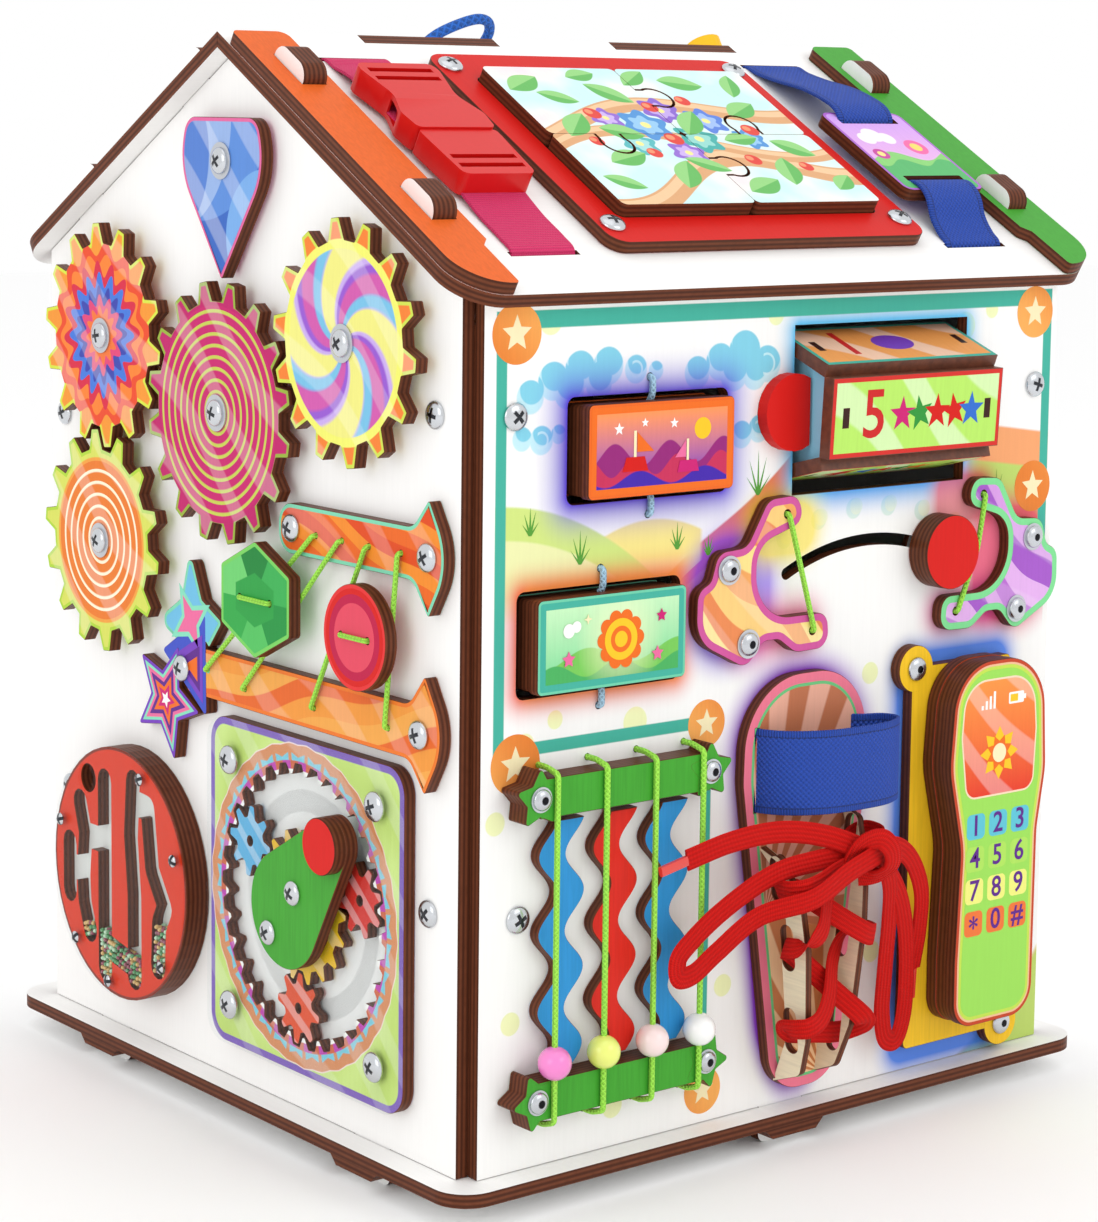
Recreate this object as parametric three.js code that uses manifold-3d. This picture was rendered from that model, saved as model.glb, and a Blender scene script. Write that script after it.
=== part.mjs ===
// House shaped busy board: a plywood house with toys on its walls and roof.
//
// Lengths are millimetres and +Z is up. The gable wall with the gears faces -X, the front
// wall under the eave faces -Y and the ridge runs along X. The origin lies on the ground,
// under the middle of the box round the whole toy.
//
// Every wall is drawn in a group of its own: x runs to the right along the wall as it is seen
// from outside, y runs up and z points out of the wall, with z = 0 on its outer face.

import * as THREE from "three";
import { mergeVertices } from "three/addons/utils/BufferGeometryUtils.js";
import Module from "manifold-3d";

const wasm = await Module();
wasm.setup();

// Sizes of the house
const ply = 6;
const gap = 0.3;
const overrun = 1;
const houseWidth = 350;
const houseDepth = 344;
const wallHeight = 367;
const roofPitch = THREE.MathUtils.degToRad(30);
const vergeOverhang = 10.5;
const eaveOverhang = 9;
const baseOverhang = 13;
const baseCornerRadius = 16;
const padThickness = 6;
const footDrop = 4.5;
const battenSide = 18;

// Derived sizes
const twoPly = 2 * ply;
const threePly = 3 * ply;
const fourPly = 4 * ply;
const halfDepth = houseDepth / 2;
const halfWidth = houseWidth / 2;
const baseTop = footDrop + padThickness + ply;
const ridgeRise = halfDepth * Math.tan(roofPitch);
const ridgeHeight = wallHeight + ridgeRise;
const slopeLength = halfDepth / Math.cos(roofPitch);
const quarterTurn = Math.PI / 2;

// Shapes

// A closed three.js geometry as a solid that can be joined and cut.
function solidOf(geometry) {
  const bare = geometry.clone();
  bare.deleteAttribute("normal");
  bare.deleteAttribute("uv");
  const merged = mergeVertices(bare, 1e-4);
  return new wasm.Manifold(
    new wasm.Mesh({
      numProp: 3,
      vertProperties: new Float32Array(merged.attributes.position.array),
      triVerts: new Uint32Array(merged.index.array),
    }),
  );
}

function geometryOf(solid) {
  const mesh = solid.getMesh();
  const geometry = new THREE.BufferGeometry();
  geometry.setAttribute("position", new THREE.BufferAttribute(mesh.vertProperties, 3));
  geometry.setIndex(new THREE.BufferAttribute(mesh.triVerts, 1));
  return geometry;
}

function joined(solids) {
  return solids.reduce((whole, solid) => whole.add(solid));
}

function cut(solid, cutters) {
  return cutters.reduce((rest, cutter) => rest.subtract(cutter), solid);
}

// A flat outline made solid between two heights.
function slab(outline, from, to, curveSegments = 6) {
  const depth = to - from;
  const geometry = new THREE.ExtrudeGeometry(outline, { depth, bevelEnabled: false, curveSegments });
  return solidOf(geometry.translate(0, 0, from));
}

function box(x0, x1, y0, y1, z0, z1) {
  const geometry = new THREE.BoxGeometry(x1 - x0, y1 - y0, z1 - z0);
  return solidOf(geometry.translate((x0 + x1) / 2, (y0 + y1) / 2, (z0 + z1) / 2));
}

// A round bar along z.
function bar(x, y, radius, from, to, segments = 20) {
  const geometry = new THREE.CylinderGeometry(radius, radius, to - from, segments);
  geometry.rotateX(quarterTurn).translate(x, y, (from + to) / 2);
  return solidOf(geometry);
}

// A solid of revolution round the z axis through x, y. Its profile lists radius and height.
function turned(x, y, profile, segments = 16) {
  const points = profile.map(([radius, height]) => new THREE.Vector2(radius, height));
  const geometry = new THREE.LatheGeometry(points, segments);
  return solidOf(geometry.rotateX(quarterTurn).translate(x, y, 0));
}

// An outline through corners [x, y, radius], each rounded by its own radius, counterclockwise.
function rounded(corners) {
  const outline = new THREE.Shape();
  const at = (index) => {
    const [x, y] = corners[(index + corners.length) % corners.length];
    return new THREE.Vector2(x, y);
  };
  corners.forEach(([x, y, radius = 0], index) => {
    const corner = at(index);
    const back = at(index - 1).sub(corner).normalize();
    const ahead = at(index + 1).sub(corner).normalize();
    const place = (point) => (index ? outline.lineTo(point.x, point.y) : outline.moveTo(point.x, point.y));
    if (!radius) {
      place(corner);
      return;
    }
    const halfAngle = Math.acos(THREE.MathUtils.clamp(back.dot(ahead), -1, 1)) / 2;
    const reach = radius / Math.tan(halfAngle);
    const start = corner.clone().addScaledVector(back, reach);
    const end = corner.clone().addScaledVector(ahead, reach);
    const middle = back.clone().add(ahead).normalize();
    const centre = corner.clone().addScaledVector(middle, radius / Math.sin(halfAngle));
    const from = Math.atan2(start.y - centre.y, start.x - centre.x);
    const to = Math.atan2(end.y - centre.y, end.x - centre.x);
    place(start);
    outline.absarc(centre.x, centre.y, radius, from, to, back.cross(ahead) > 0);
  });
  outline.closePath();
  return outline;
}

function roundedBox(x0, x1, y0, y1, radius) {
  const corners = [[x0, y0, radius], [x1, y0, radius], [x1, y1, radius], [x0, y1, radius]];
  return rounded(corners);
}

// The outline of a slot with round ends between two points.
function slotOutline(x0, y0, x1, y1, radius) {
  const along = Math.atan2(y1 - y0, x1 - x0);
  const outline = new THREE.Shape();
  outline.absarc(x1, y1, radius, along - quarterTurn, along + quarterTurn, false);
  outline.absarc(x0, y0, radius, along + quarterTurn, along + 3 * quarterTurn, false);
  outline.closePath();
  return outline;
}

// A slot that follows a circle from one angle to another.
function arcSlotOutline(x, y, radius, halfBreadth, from, to) {
  const outline = new THREE.Shape();
  const end = (angle) => [x + radius * Math.cos(angle), y + radius * Math.sin(angle)];
  outline.absarc(x, y, radius + halfBreadth, from, to, false);
  outline.absarc(...end(to), halfBreadth, to, to + Math.PI, false);
  outline.absarc(x, y, radius - halfBreadth, to, from, true);
  outline.absarc(...end(from), halfBreadth, from - Math.PI, from, false);
  outline.closePath();
  return outline;
}

// A toothed outline. Each row of the tooth table is a radius and the tooth's breadth there,
// from the root to the tip.
function toothed(x, y, teeth, phase, rows) {
  const pitch = (2 * Math.PI) / teeth;
  const points = [];
  for (let tooth = 0; tooth < teeth; tooth += 1) {
    const middle = phase + tooth * pitch;
    const place = ([radius, breadth], side) => {
      const angle = middle + (side * breadth) / 2 / radius;
      points.push(new THREE.Vector2(x + radius * Math.cos(angle), y + radius * Math.sin(angle)));
    };
    rows.forEach((row) => place(row, -1));
    [...rows].reverse().forEach((row) => place(row, 1));
  }
  return points;
}

function star(x, y, tips, outer, inner, phase) {
  const outline = new THREE.Shape();
  for (let index = 0; index < 2 * tips; index += 1) {
    const radius = index % 2 ? inner : outer;
    const angle = phase + (index * Math.PI) / tips;
    const point = [x + radius * Math.cos(angle), y + radius * Math.sin(angle)];
    if (index) outline.lineTo(...point);
    else outline.moveTo(...point);
  }
  outline.closePath();
  return outline;
}

// A band of even thickness whose middle line is drawn in the plane of x and y.
function bandOutline(line, thickness, steps) {
  const curve = new THREE.SplineCurve(line.map(([x, y]) => new THREE.Vector2(x, y)));
  const left = [];
  const right = [];
  for (let step = 0; step <= steps; step += 1) {
    const point = curve.getPoint(step / steps);
    const tangent = curve.getTangent(step / steps);
    const side = new THREE.Vector2(-tangent.y, tangent.x).multiplyScalar(thickness / 2);
    left.push(point.clone().add(side));
    right.unshift(point.clone().sub(side));
  }
  return new THREE.Shape([...left, ...right]);
}

// A route through given bends. It is stepped from knot to knot, so straight runs take one step.
// With no bend it keeps each given point as it is.
class Route extends THREE.Curve {
  constructor(points, bend) {
    super();
    this.knots = [points[0]];
    for (let index = 1; index < points.length - 1; index += 1) {
      const [before, corner, after] = points.slice(index - 1, index + 2);
      if (!bend) {
        this.knots.push(corner);
        continue;
      }
      const near = Math.min(bend, corner.distanceTo(before) / 2.2, corner.distanceTo(after) / 2.2);
      const start = corner.clone().lerp(before, near / corner.distanceTo(before));
      const end = corner.clone().lerp(after, near / corner.distanceTo(after));
      const middle = start.clone().add(end).add(corner).add(corner).divideScalar(4);
      this.knots.push(start, middle, end);
    }
    this.knots.push(points[points.length - 1]);
    this.steps = this.knots.length - 1;
  }

  getPointAt(share, target = new THREE.Vector3()) {
    const place = share * this.steps;
    const knot = Math.min(Math.floor(place), this.steps - 1);
    return target.copy(this.knots[knot]).lerp(this.knots[knot + 1], place - knot);
  }

  getTangentAt(share, target = new THREE.Vector3()) {
    const knot = Math.round(share * this.steps);
    const before = this.knots[Math.max(knot - 1, 0)];
    const after = this.knots[Math.min(knot + 1, this.steps)];
    return target.copy(after).sub(before).normalize();
  }
}

// A cord of round section along a route.
function cord(points, diameter, bend, sides = 8) {
  const route = new Route(points.map((point) => new THREE.Vector3(...point)), bend);
  const section = new THREE.Shape();
  for (let side = 0; side < sides; side += 1) {
    const angle = (side / sides) * 2 * Math.PI;
    const corner = [(diameter / 2) * Math.cos(angle), (diameter / 2) * Math.sin(angle)];
    if (side) section.lineTo(...corner);
    else section.moveTo(...corner);
  }
  section.closePath();
  const geometry = new THREE.ExtrudeGeometry(section, { steps: route.steps, extrudePath: route });
  return solidOf(geometry);
}

function knot(x, y, z, radius) {
  return solidOf(new THREE.SphereGeometry(radius, 8, 6).translate(x, y, z));
}

// Materials
function look(color, roughness, metalness = 0) {
  return new THREE.MeshStandardMaterial({ color, roughness, metalness });
}

function piece(group, name, material, solid) {
  const mesh = new THREE.Mesh(geometryOf(solid), material);
  mesh.name = name;
  group.add(mesh);
  return mesh;
}

const whitePly = { color: 0xf2ede4, roughness: 0.55 };
const white = () => look(whitePly.color, whitePly.roughness);
const clear = () => new THREE.MeshStandardMaterial({
  color: 0xe8f2f4,
  roughness: 0.1,
  transparent: true,
  opacity: 0.25,
});

// The groups of the sides
const group = new THREE.Group();
const house = new THREE.Group();
house.position.z = baseTop;
group.add(house);

function side(x, y, z, lean, turn) {
  const wall = new THREE.Group();
  wall.position.set(x, y, z);
  wall.rotation.set(lean, 0, turn, "ZYX");
  house.add(wall);
  return wall;
}

const frontSide = side(0, 0, 0, quarterTurn, 0);
const gableSide = side(0, halfDepth, 0, quarterTurn, -quarterTurn);
const backSide = side(houseWidth, houseDepth, 0, quarterTurn, Math.PI);
const rightSide = side(houseWidth, halfDepth, 0, quarterTurn, quarterTurn);
const frontRoof = side(0, 0, wallHeight, roofPitch, 0);
const backRoof = side(houseWidth, houseDepth, wallHeight, roofPitch, Math.PI);

// Feet: wall tabs that stand through the base and its pads
const footTab = { breadth: 26, corner: 4, slotPlay: 0.4 };
const footPad = { length: 38, breadth: 30, chamfer: 6 };
const frontFeet = [177];
const gableFeet = [-108, 106];

function footTabs(places) {
  const bottom = -baseTop;
  return places.map((place) => {
    const half = footTab.breadth / 2;
    const corners = [
      [place - half, bottom, footTab.corner],
      [place + half, bottom, footTab.corner],
      [place + half, ply, 0],
      [place - half, ply, 0],
    ];
    return slab(rounded(corners), -ply, 0, 4);
  });
}

// Base panel, with a pad glued under each foot
{
  const outline = roundedBox(
    -baseOverhang,
    houseWidth + baseOverhang,
    -baseOverhang,
    houseDepth + baseOverhang,
    baseCornerRadius,
  );
  const halfPad = footPad.length / 2;
  const inner = halfPad - footPad.chamfer;
  const padBottom = -ply - padThickness;
  const section = new THREE.Shape([
    new THREE.Vector2(-halfPad, -ply),
    new THREE.Vector2(-inner, padBottom),
    new THREE.Vector2(inner, padBottom),
    new THREE.Vector2(halfPad, -ply),
  ]);
  const halfSlot = footTab.breadth / 2 + footTab.slotPlay;
  const play = footTab.slotPlay;
  const padEdge = -baseOverhang + ply / 2;
  const pad = slab(section, -(padEdge + footPad.breadth), -padEdge);
  const slot = box(-halfSlot, halfSlot, -ply - baseTop, ply, -ply - play, play);
  const turnedTo = (solid, x, y, turn) => solid.rotate([90, 0, turn]).translate([x, y, 0]);
  const places = [
    ...frontFeet.map((x) => [x, 0, 0]),
    ...gableFeet.map((u) => [0, halfDepth - u, -90]),
    ...frontFeet.map((x) => [houseWidth - x, houseDepth, 180]),
    ...gableFeet.map((u) => [houseWidth, halfDepth + u, 90]),
  ];
  const panel = slab(outline, -ply, 0);
  const pads = places.map((place) => turnedTo(pad, ...place));
  const slots = places.map((place) => turnedTo(slot, ...place));
  piece(house, "base_panel", white(), cut(joined([panel, ...pads]), slots));
}

// Front wall
const cornerNotch = ply + gap;
const battenBottom = 1;
const eaveShave = 0.7;

// Openings of the front wall
const flipOpening = { width: 88.5, height: 45, corner: 4 };
const flipBlock = { width: 80, height: 39.5, corner: 2.5, bore: 3.6, mouth: 5.9, mouthDepth: 5.2 };
const upperFlip = { x: 93.7, y: 301.5 };
const lowerFlip = { x: 68.2, y: 222.6 };
const flipCord = { diameter: 2.8, hole: 3.8, reach: 29, proud: 1.9, behind: -9.5 };
const drumOpening = { x0: 176.3, x1: 283.7, y0: 274.3, y1: 349.2 };
const drum = { faces: 5, breadth: 35.6, endPlay: 1, y: 311.7, depth: -7.1, recess: 5, bore: 6.8, lean: 3.5 };
const drumAxle = { diameter: 6, reach: 12 };
const axlePlate = { x: 172, radius: 17, trim: 180.6 };
const slideArc = { x: 224, y: 134, radius: 117.2, halfSlot: 2.75, from: 64.7, to: 115.3 };
const lacingRoom = 0.9;
const rackCord = { diameter: 2.4, xs: [36, 62.4, 89.2, 115.7], top: 172.2, bottom: 20.2 };
const strapSlot = { left: 153.5, right: 210, y0: 136.5, y1: 174.5, breadth: 3.4 };

function flipWindow({ x, y }) {
  const halfWindow = flipOpening.width / 2;
  const halfRise = flipOpening.height / 2;
  const outline = roundedBox(x - halfWindow, x + halfWindow, y - halfRise, y + halfRise, flipOpening.corner);
  return slab(outline, -2 * ply, ply, 3);
}

function through(x, y, diameter, segments = 12) {
  return bar(x, y, diameter / 2, -2 * ply, 2 * ply, segments);
}

function cordHoles({ x, y }) {
  return [1, -1].map((way) => through(x, y + way * flipCord.reach, flipCord.hole));
}

{
  const panel = box(cornerNotch, houseWidth - cornerNotch, gap, wallHeight - eaveShave, -ply, 0);
  const battens = [cornerNotch, houseWidth - cornerNotch - battenSide].map((x) =>
    box(x, x + battenSide, battenBottom, wallHeight - 2 * ply, -ply - battenSide, -ply / 2),
  );
  const radians = THREE.MathUtils.degToRad;
  const arc = arcSlotOutline(
    slideArc.x,
    slideArc.y,
    slideArc.radius,
    slideArc.halfSlot,
    radians(slideArc.from),
    radians(slideArc.to),
  );
  const openings = [
    flipWindow(upperFlip),
    flipWindow(lowerFlip),
    ...cordHoles(upperFlip),
    ...cordHoles(lowerFlip),
    box(drumOpening.x0, drumOpening.x1, drumOpening.y0, drumOpening.y1, -2 * ply, ply),
    slab(arc, -2 * ply, ply, 14),
    ...rackCord.xs.flatMap((x) => [
      through(x, rackCord.top, rackCord.diameter + lacingRoom, 8),
      through(x, rackCord.bottom, rackCord.diameter + lacingRoom, 8),
    ]),
    ...[strapSlot.left, strapSlot.right].map((x) =>
      box(x - strapSlot.breadth / 2, x + strapSlot.breadth / 2, strapSlot.y0, strapSlot.y1, -2 * ply, ply),
    ),
  ];
  const wall = cut(joined([panel, ...battens, ...footTabs(frontFeet)]), openings);

  // The drum's axle is glued into the wall's back, under the round plate at its left end.
  const axleLength = drumOpening.x1 - drumOpening.x0 + 2 * drumAxle.reach;
  const axle = new THREE.CylinderGeometry(drumAxle.diameter / 2, drumAxle.diameter / 2, axleLength, 12);
  axle.rotateZ(quarterTurn).translate((drumOpening.x0 + drumOpening.x1) / 2, drum.y, drum.depth);
  const round = bar(axlePlate.x, drum.y, axlePlate.radius, -ply / 2, ply, 24);
  const beyond = box(axlePlate.trim, houseWidth, 0, wallHeight, -ply, twoPly);
  piece(frontSide, "front_wall", white(), joined([wall, solidOf(axle), cut(round, [beyond])]));
}

// Back wall, plain
{
  const panel = box(cornerNotch, houseWidth - cornerNotch, gap, wallHeight - eaveShave, -ply, 0);
  const battens = [cornerNotch, houseWidth - cornerNotch - battenSide].map((x) =>
    box(x, x + battenSide, battenBottom, wallHeight - 2 * ply, -ply - battenSide, -ply / 2),
  );
  piece(backSide, "back_wall", white(), joined([panel, ...battens, ...footTabs(frontFeet)]));
}

// Gable walls, with the tabs that stand through the roof
const roofTab = { starts: [146.7, 38.6], length: 25, top: 19, play: 0.4, corner: 7 };

const gears = { back: 5, face: 11 };
const axleScrew = { shank: 4, hole: 4.8, head: 6, headRise: 3.6, spacer: 7, nut: 8, nutDepth: 3 };
const centreGear = { name: "gear_centre", x: 0, y: 306, teeth: 16 };
const upperLeftGear = { name: "gear_upper_left", x: -99.9, y: 333.7, teeth: 14 };
const rightGear = { name: "gear_right", x: 97.2, y: 343.5, teeth: 14 };
const lowerLeftGear = { name: "gear_lower_left", x: -101.8, y: 237, teeth: 14 };
const pointer = { x: 0, y: 417, top: 436, tip: 365.4, halfBreadth: 31.5, back: 2.5, face: 8.5 };
const maze = { x: -83.6, y: 80.4, radius: 60, back: 0.7, floor: 6.7, face: 12.7, axle: 6 };
const gearbox = { x: 59.9, y: 94.2, side: 149.6, shiftX: 1.7, shiftY: -0.4, corner: 12, window: 2 };
const crankAxle = 6;
const shaftPlay = 0.6;
const laceCord = { diameter: 2, hole: 3, proud: 7.9, behind: -8 };
const upperHoles = [[70.8, 259.2], [90.3, 259.2], [110, 259.2], [132.9, 259.2]];
const lowerHoles = [[-15.5, 187.7], [15.2, 183.8], [69.6, 184.1], [124.4, 184.6]];

function gableOutline() {
  const edge = halfDepth - cornerNotch;
  const lift = (gap + 0.1) / Math.cos(roofPitch);
  const eave = wallHeight + cornerNotch * Math.tan(roofPitch) - lift;
  const outline = new THREE.Shape();
  outline.moveTo(-edge, gap);
  outline.lineTo(edge, gap);
  outline.lineTo(edge, eave);
  outline.lineTo(0, ridgeHeight - lift);
  outline.lineTo(-edge, eave);
  outline.closePath();
  return outline;
}

// The roof tabs of one gable slope. The roof rises from x = side * halfDepth to the ridge.
function roofTabs(way) {
  return roofTab.starts.map((start) => {
    const end = start + roofTab.length;
    const foot = -threePly;
    const corners = [
      [start, foot, 0],
      [end, foot, 0],
      [end, roofTab.top, roofTab.corner],
      [start, roofTab.top, roofTab.corner],
    ];
    const tab = slab(rounded(corners), -twoPly, 0, 5);
    const mirrored = way > 0 ? tab.mirror([1, 0, 0]) : tab;
    const lean = THREE.MathUtils.radToDeg(roofPitch) * -way;
    return mirrored.rotate([0, 0, lean]).translate([way * halfDepth, wallHeight, 0]);
  });
}

function gableWall() {
  const panel = slab(gableOutline(), -ply, 0);
  return joined([panel, ...roofTabs(1), ...roofTabs(-1), ...footTabs(gableFeet)]);
}

{
  const shafts = [centreGear, upperLeftGear, rightGear, lowerLeftGear, pointer];
  const holes = [
    ...shafts.map(({ x, y }) => through(x, y, axleScrew.hole)),
    through(maze.x, maze.y, maze.axle + shaftPlay),
    through(gearbox.x, gearbox.y, crankAxle + shaftPlay),
    ...[...upperHoles, ...lowerHoles].map(([x, y]) => through(x, y, laceCord.hole, 8)),
  ];
  piece(gableSide, "left_gable_wall", white(), cut(gableWall(), holes));
  piece(rightSide, "right_gable_wall", white(), gableWall());
}

// Roof panels, joined at the ridge by the fingers of the back panel
const strip = { lowBreadth: 24, highBreadth: 28, stepLow: 18.7, stepHigh: 23.1, top: 192.5, corner: 22 };
const fingers = [[64, 140], [211, 288]];
const webbing = { x0: 31, x1: 65, upper: 179, lower: 20.5, thickness: 1.4 };
const blueBand = { x0: 282, x1: 318, upper: 181, lower: 17.5, thickness: 1.6 };
const bandSlot = { breadth: 3.4, play: 1.2 };
const handle = { diameter: 5, holes: [[238, 178], [212, 178]], hole: 6.4 };
const ridgeKnob = { x: 60, y: 184, radius: 9, top: 18 };

function roofOutline(length) {
  return rounded([
    [-vergeOverhang, -eaveOverhang, strip.corner],
    [houseWidth + vergeOverhang, -eaveOverhang, strip.corner],
    [houseWidth + vergeOverhang, length, 0],
    [-vergeOverhang, length, 0],
  ]);
}

function tabSlots() {
  return roofTab.starts.flatMap((start) =>
    [0, houseWidth - twoPly].map((x) =>
      box(
        x - roofTab.play,
        x + twoPly + roofTab.play,
        start - roofTab.play,
        start + roofTab.length + roofTab.play,
        -ply,
        threePly,
      ),
    ),
  );
}

// The room on one side of the upright plane through the ridge, in the roof's own frame.
function beforeRidge(shift) {
  const reach = houseWidth + 4 * vergeOverhang;
  const half = slab(
    new THREE.Shape([
      new THREE.Vector2(-reach, -reach),
      new THREE.Vector2(reach, -reach),
      new THREE.Vector2(reach, shift),
      new THREE.Vector2(-reach, shift),
    ]),
    -reach,
    reach,
  );
  return half.rotate([-THREE.MathUtils.radToDeg(roofPitch), 0, 0]).translate([halfWidth, slopeLength, 0]);
}

function fingerSpace(play) {
  const span = 2 * (ply + roofTab.top);
  return fingers.map(([x0, x1]) => box(x0 - play, x1 + play, slopeLength - span, slopeLength + span, -ply, twoPly));
}

// The other slope's slab, seen from this slope's frame: turned about the ridge.
function fromOtherSlope(solid) {
  const turnBack = 2 * THREE.MathUtils.radToDeg(roofPitch);
  return solid
    .translate([0, -slopeLength, 0])
    .mirror([0, 1, 0])
    .rotate([-turnBack, 0, 0])
    .translate([0, slopeLength, 0]);
}

{
  const reach = slopeLength + twoPly;
  const sheet = slab(roofOutline(reach), 0, ply);
  const bandSlots = [webbing, blueBand].flatMap(({ x0, x1, upper, lower }) =>
    [upper, lower].map((s) =>
      box(
        x0 - bandSlot.play,
        x1 + bandSlot.play,
        s - bandSlot.breadth / 2,
        s + bandSlot.breadth / 2,
        -ply,
        twoPly,
      ),
    ),
  );
  const halfGap = gap / 2;
  const ownHalf = sheet.intersect(beforeRidge(-halfGap));
  // Where the back panel's fingers pass, the front panel stops short of the back panel.
  const backSlab = fromOtherSlope(slab(roofOutline(reach), -gap, ply + gap));
  const notches = joined(fingerSpace(gap)).intersect(backSlab);
  piece(frontRoof, "front_roof_panel", white(), cut(ownHalf, [notches, ...tabSlots(), ...bandSlots]));

  const mirroredFingers = joined(fingerSpace(0)).mirror([1, 0, 0]).translate([houseWidth, 0, 0]);
  const underFrontTop = fromOtherSlope(slab(roofOutline(reach), -ply, ply));
  const fingerPieces = sheet.intersect(mirroredFingers).intersect(underFrontTop);
  const backHalf = sheet.intersect(beforeRidge(-halfGap));
  const handleHoles = handle.holes.map(([x, y]) => through(x, y, handle.hole));
  const backPanel = cut(backHalf.add(fingerPieces), [...tabSlots(), ...handleHoles]);
  const knobBody = bar(ridgeKnob.x, ridgeKnob.y, ridgeKnob.radius, ply / 2, ridgeKnob.top, 20);
  piece(backRoof, "back_roof_panel", white(), backPanel.add(knobBody));
}

// Verge strips
{
  const low = -vergeOverhang;
  const outline = rounded([
    [low, -eaveOverhang, strip.corner],
    [low + strip.lowBreadth, -eaveOverhang, 2],
    [low + strip.lowBreadth, strip.stepLow, 0],
    [low + strip.highBreadth, strip.stepHigh, 0],
    [low + strip.highBreadth, strip.top, 5],
    [low, strip.top, 3],
  ]);
  const orange = slab(outline, ply + gap, twoPly);
  const green = orange.mirror([1, 0, 0]).translate([houseWidth, 0, 0]);
  piece(frontRoof, "orange_verge_strip", look(0xe66e28, 0.5), cut(orange, tabSlots()));
  piece(frontRoof, "green_verge_strip", look(0x50a53c, 0.5), cut(green, tabSlots()));
}

// Gears on the gable wall
const gearRows = {
  16: [[49.6, 12], [58.5, 6.4]],
  14: [[43.2, 12], [52.5, 6]],
};

// The phase that lets a gear's teeth stand in the gaps of its neighbour on the same wall.
function meshPhase(driver, driverPhase, gear) {
  const towards = Math.atan2(gear.y - driver.y, gear.x - driver.x);
  const turn = (towards - driverPhase) * driver.teeth;
  return towards + Math.PI - (Math.PI - turn) / gear.teeth;
}

// Screw, spacer and nut that carry a turning piece whose back lies at a height.
function axle(x, y, back, face) {
  const { shank, head, headRise, spacer, nut, nutDepth } = axleScrew;
  const half = shank / 2;
  return turned(x, y, [
    [0, -ply - gap - nutDepth],
    [nut, -ply - gap - nutDepth],
    [nut, -ply - gap],
    [half, -ply - gap],
    [half, gap],
    [spacer, gap],
    [spacer, back],
    [head, face],
    [head * 0.8, face + headRise * 0.75],
    [0, face + headRise],
  ], 12);
}

{
  const centrePhase = quarterTurn + Math.PI / centreGear.teeth;
  const upperLeftPhase = meshPhase(centreGear, centrePhase, upperLeftGear);
  const rightPhase = meshPhase(centreGear, centrePhase, rightGear);
  const lowerLeftPhase = meshPhase(upperLeftGear, upperLeftPhase, lowerLeftGear);
  const train = [
    [centreGear, centrePhase, 0xc8327d],
    [upperLeftGear, upperLeftPhase, 0xe64628],
    [rightGear, rightPhase, 0xb4dc5a],
    [lowerLeftGear, lowerLeftPhase, 0xf5aa46],
  ];
  for (const [gear, phase, color] of train) {
    const outline = new THREE.Shape(toothed(gear.x, gear.y, gear.teeth, phase, gearRows[gear.teeth]));
    const wheel = slab(outline, gears.back, gears.face);
    piece(gableSide, gear.name, look(color, 0.45), wheel.add(axle(gear.x, gear.y, gears.back, gears.face)));
  }

  const { x, y, top, tip, halfBreadth, back, face } = pointer;
  const outline = rounded([
    [x, tip - 0.8, 1.2],
    [x + halfBreadth + 4, y - 3, 30],
    [x + halfBreadth - 3, top, 9],
    [x - halfBreadth + 3, top, 9],
    [x - halfBreadth - 4, y - 3, 30],
  ]);
  piece(gableSide, "pointer", look(0x5a8cd2, 0.45), slab(outline, back, face).add(axle(x, y, back, face)));
}

// Lacing rails
const railFace = ply;
const laceHole = 2.8;

function laceHoles(places) {
  return places.map(([x, y]) => bar(x, y, laceHole / 2, -ply, twoPly, 8));
}

{
  const upper = rounded([
    [42, 249, 9.5],
    [141, 249, 9],
    [152, 234.5, 1.2],
    [167, 259.4, 26],
    [152, 283.5, 1.2],
    [141, 271, 9],
    [42, 271, 9.5],
  ]);
  const lower = rounded([
    [-34, 175, 4],
    [139, 174, 9],
    [150, 160.5, 1.2],
    [165, 185.6, 26],
    [150, 210.5, 1.2],
    [139, 197, 9],
    [-34, 197, 4],
  ]);
  const fivePointed = star(-51, 168.6, 5, 29, 13.5, THREE.MathUtils.degToRad(68));
  const triangle = rounded([[-54.5, 191.5, 1.5], [-16.6, 165.5, 1.5], [-17.4, 213.5, 1.5]]);
  const fourPointed = rounded([
    [-14, 198.5, 2],
    [-3.5, 211, 2],
    [-20.5, 219, 1.5],
    [-30.8, 241.5, 3],
    [-38, 217.5, 1.5],
    [-59, 205, 5],
    [-40, 197, 2],
  ]);
  const rail = slab(lower, gap, railFace, 4);
  const ends = [fivePointed, triangle, fourPointed].map((outline) => slab(outline, gap, railFace, 3));
  piece(gableSide, "upper_lace_rail", look(0xe66428, 0.5), cut(slab(upper, gap, railFace, 4), laceHoles(upperHoles)));
  piece(gableSide, "lower_lace_rail", look(0xf0a046, 0.5), cut(joined([rail, ...ends]), laceHoles(lowerHoles)));
}

// Buttons and the lace that they hang on
const buttonBack = 9.5;
const hexButton = { x: 37.5, y: 227.6, halfWidth: 27, rise: 25.8, shoulder: 13, holes: 11.8 };
const roundButton = { x: 113, y: 222, radius: 22.5, holes: 9.7 };

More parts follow.
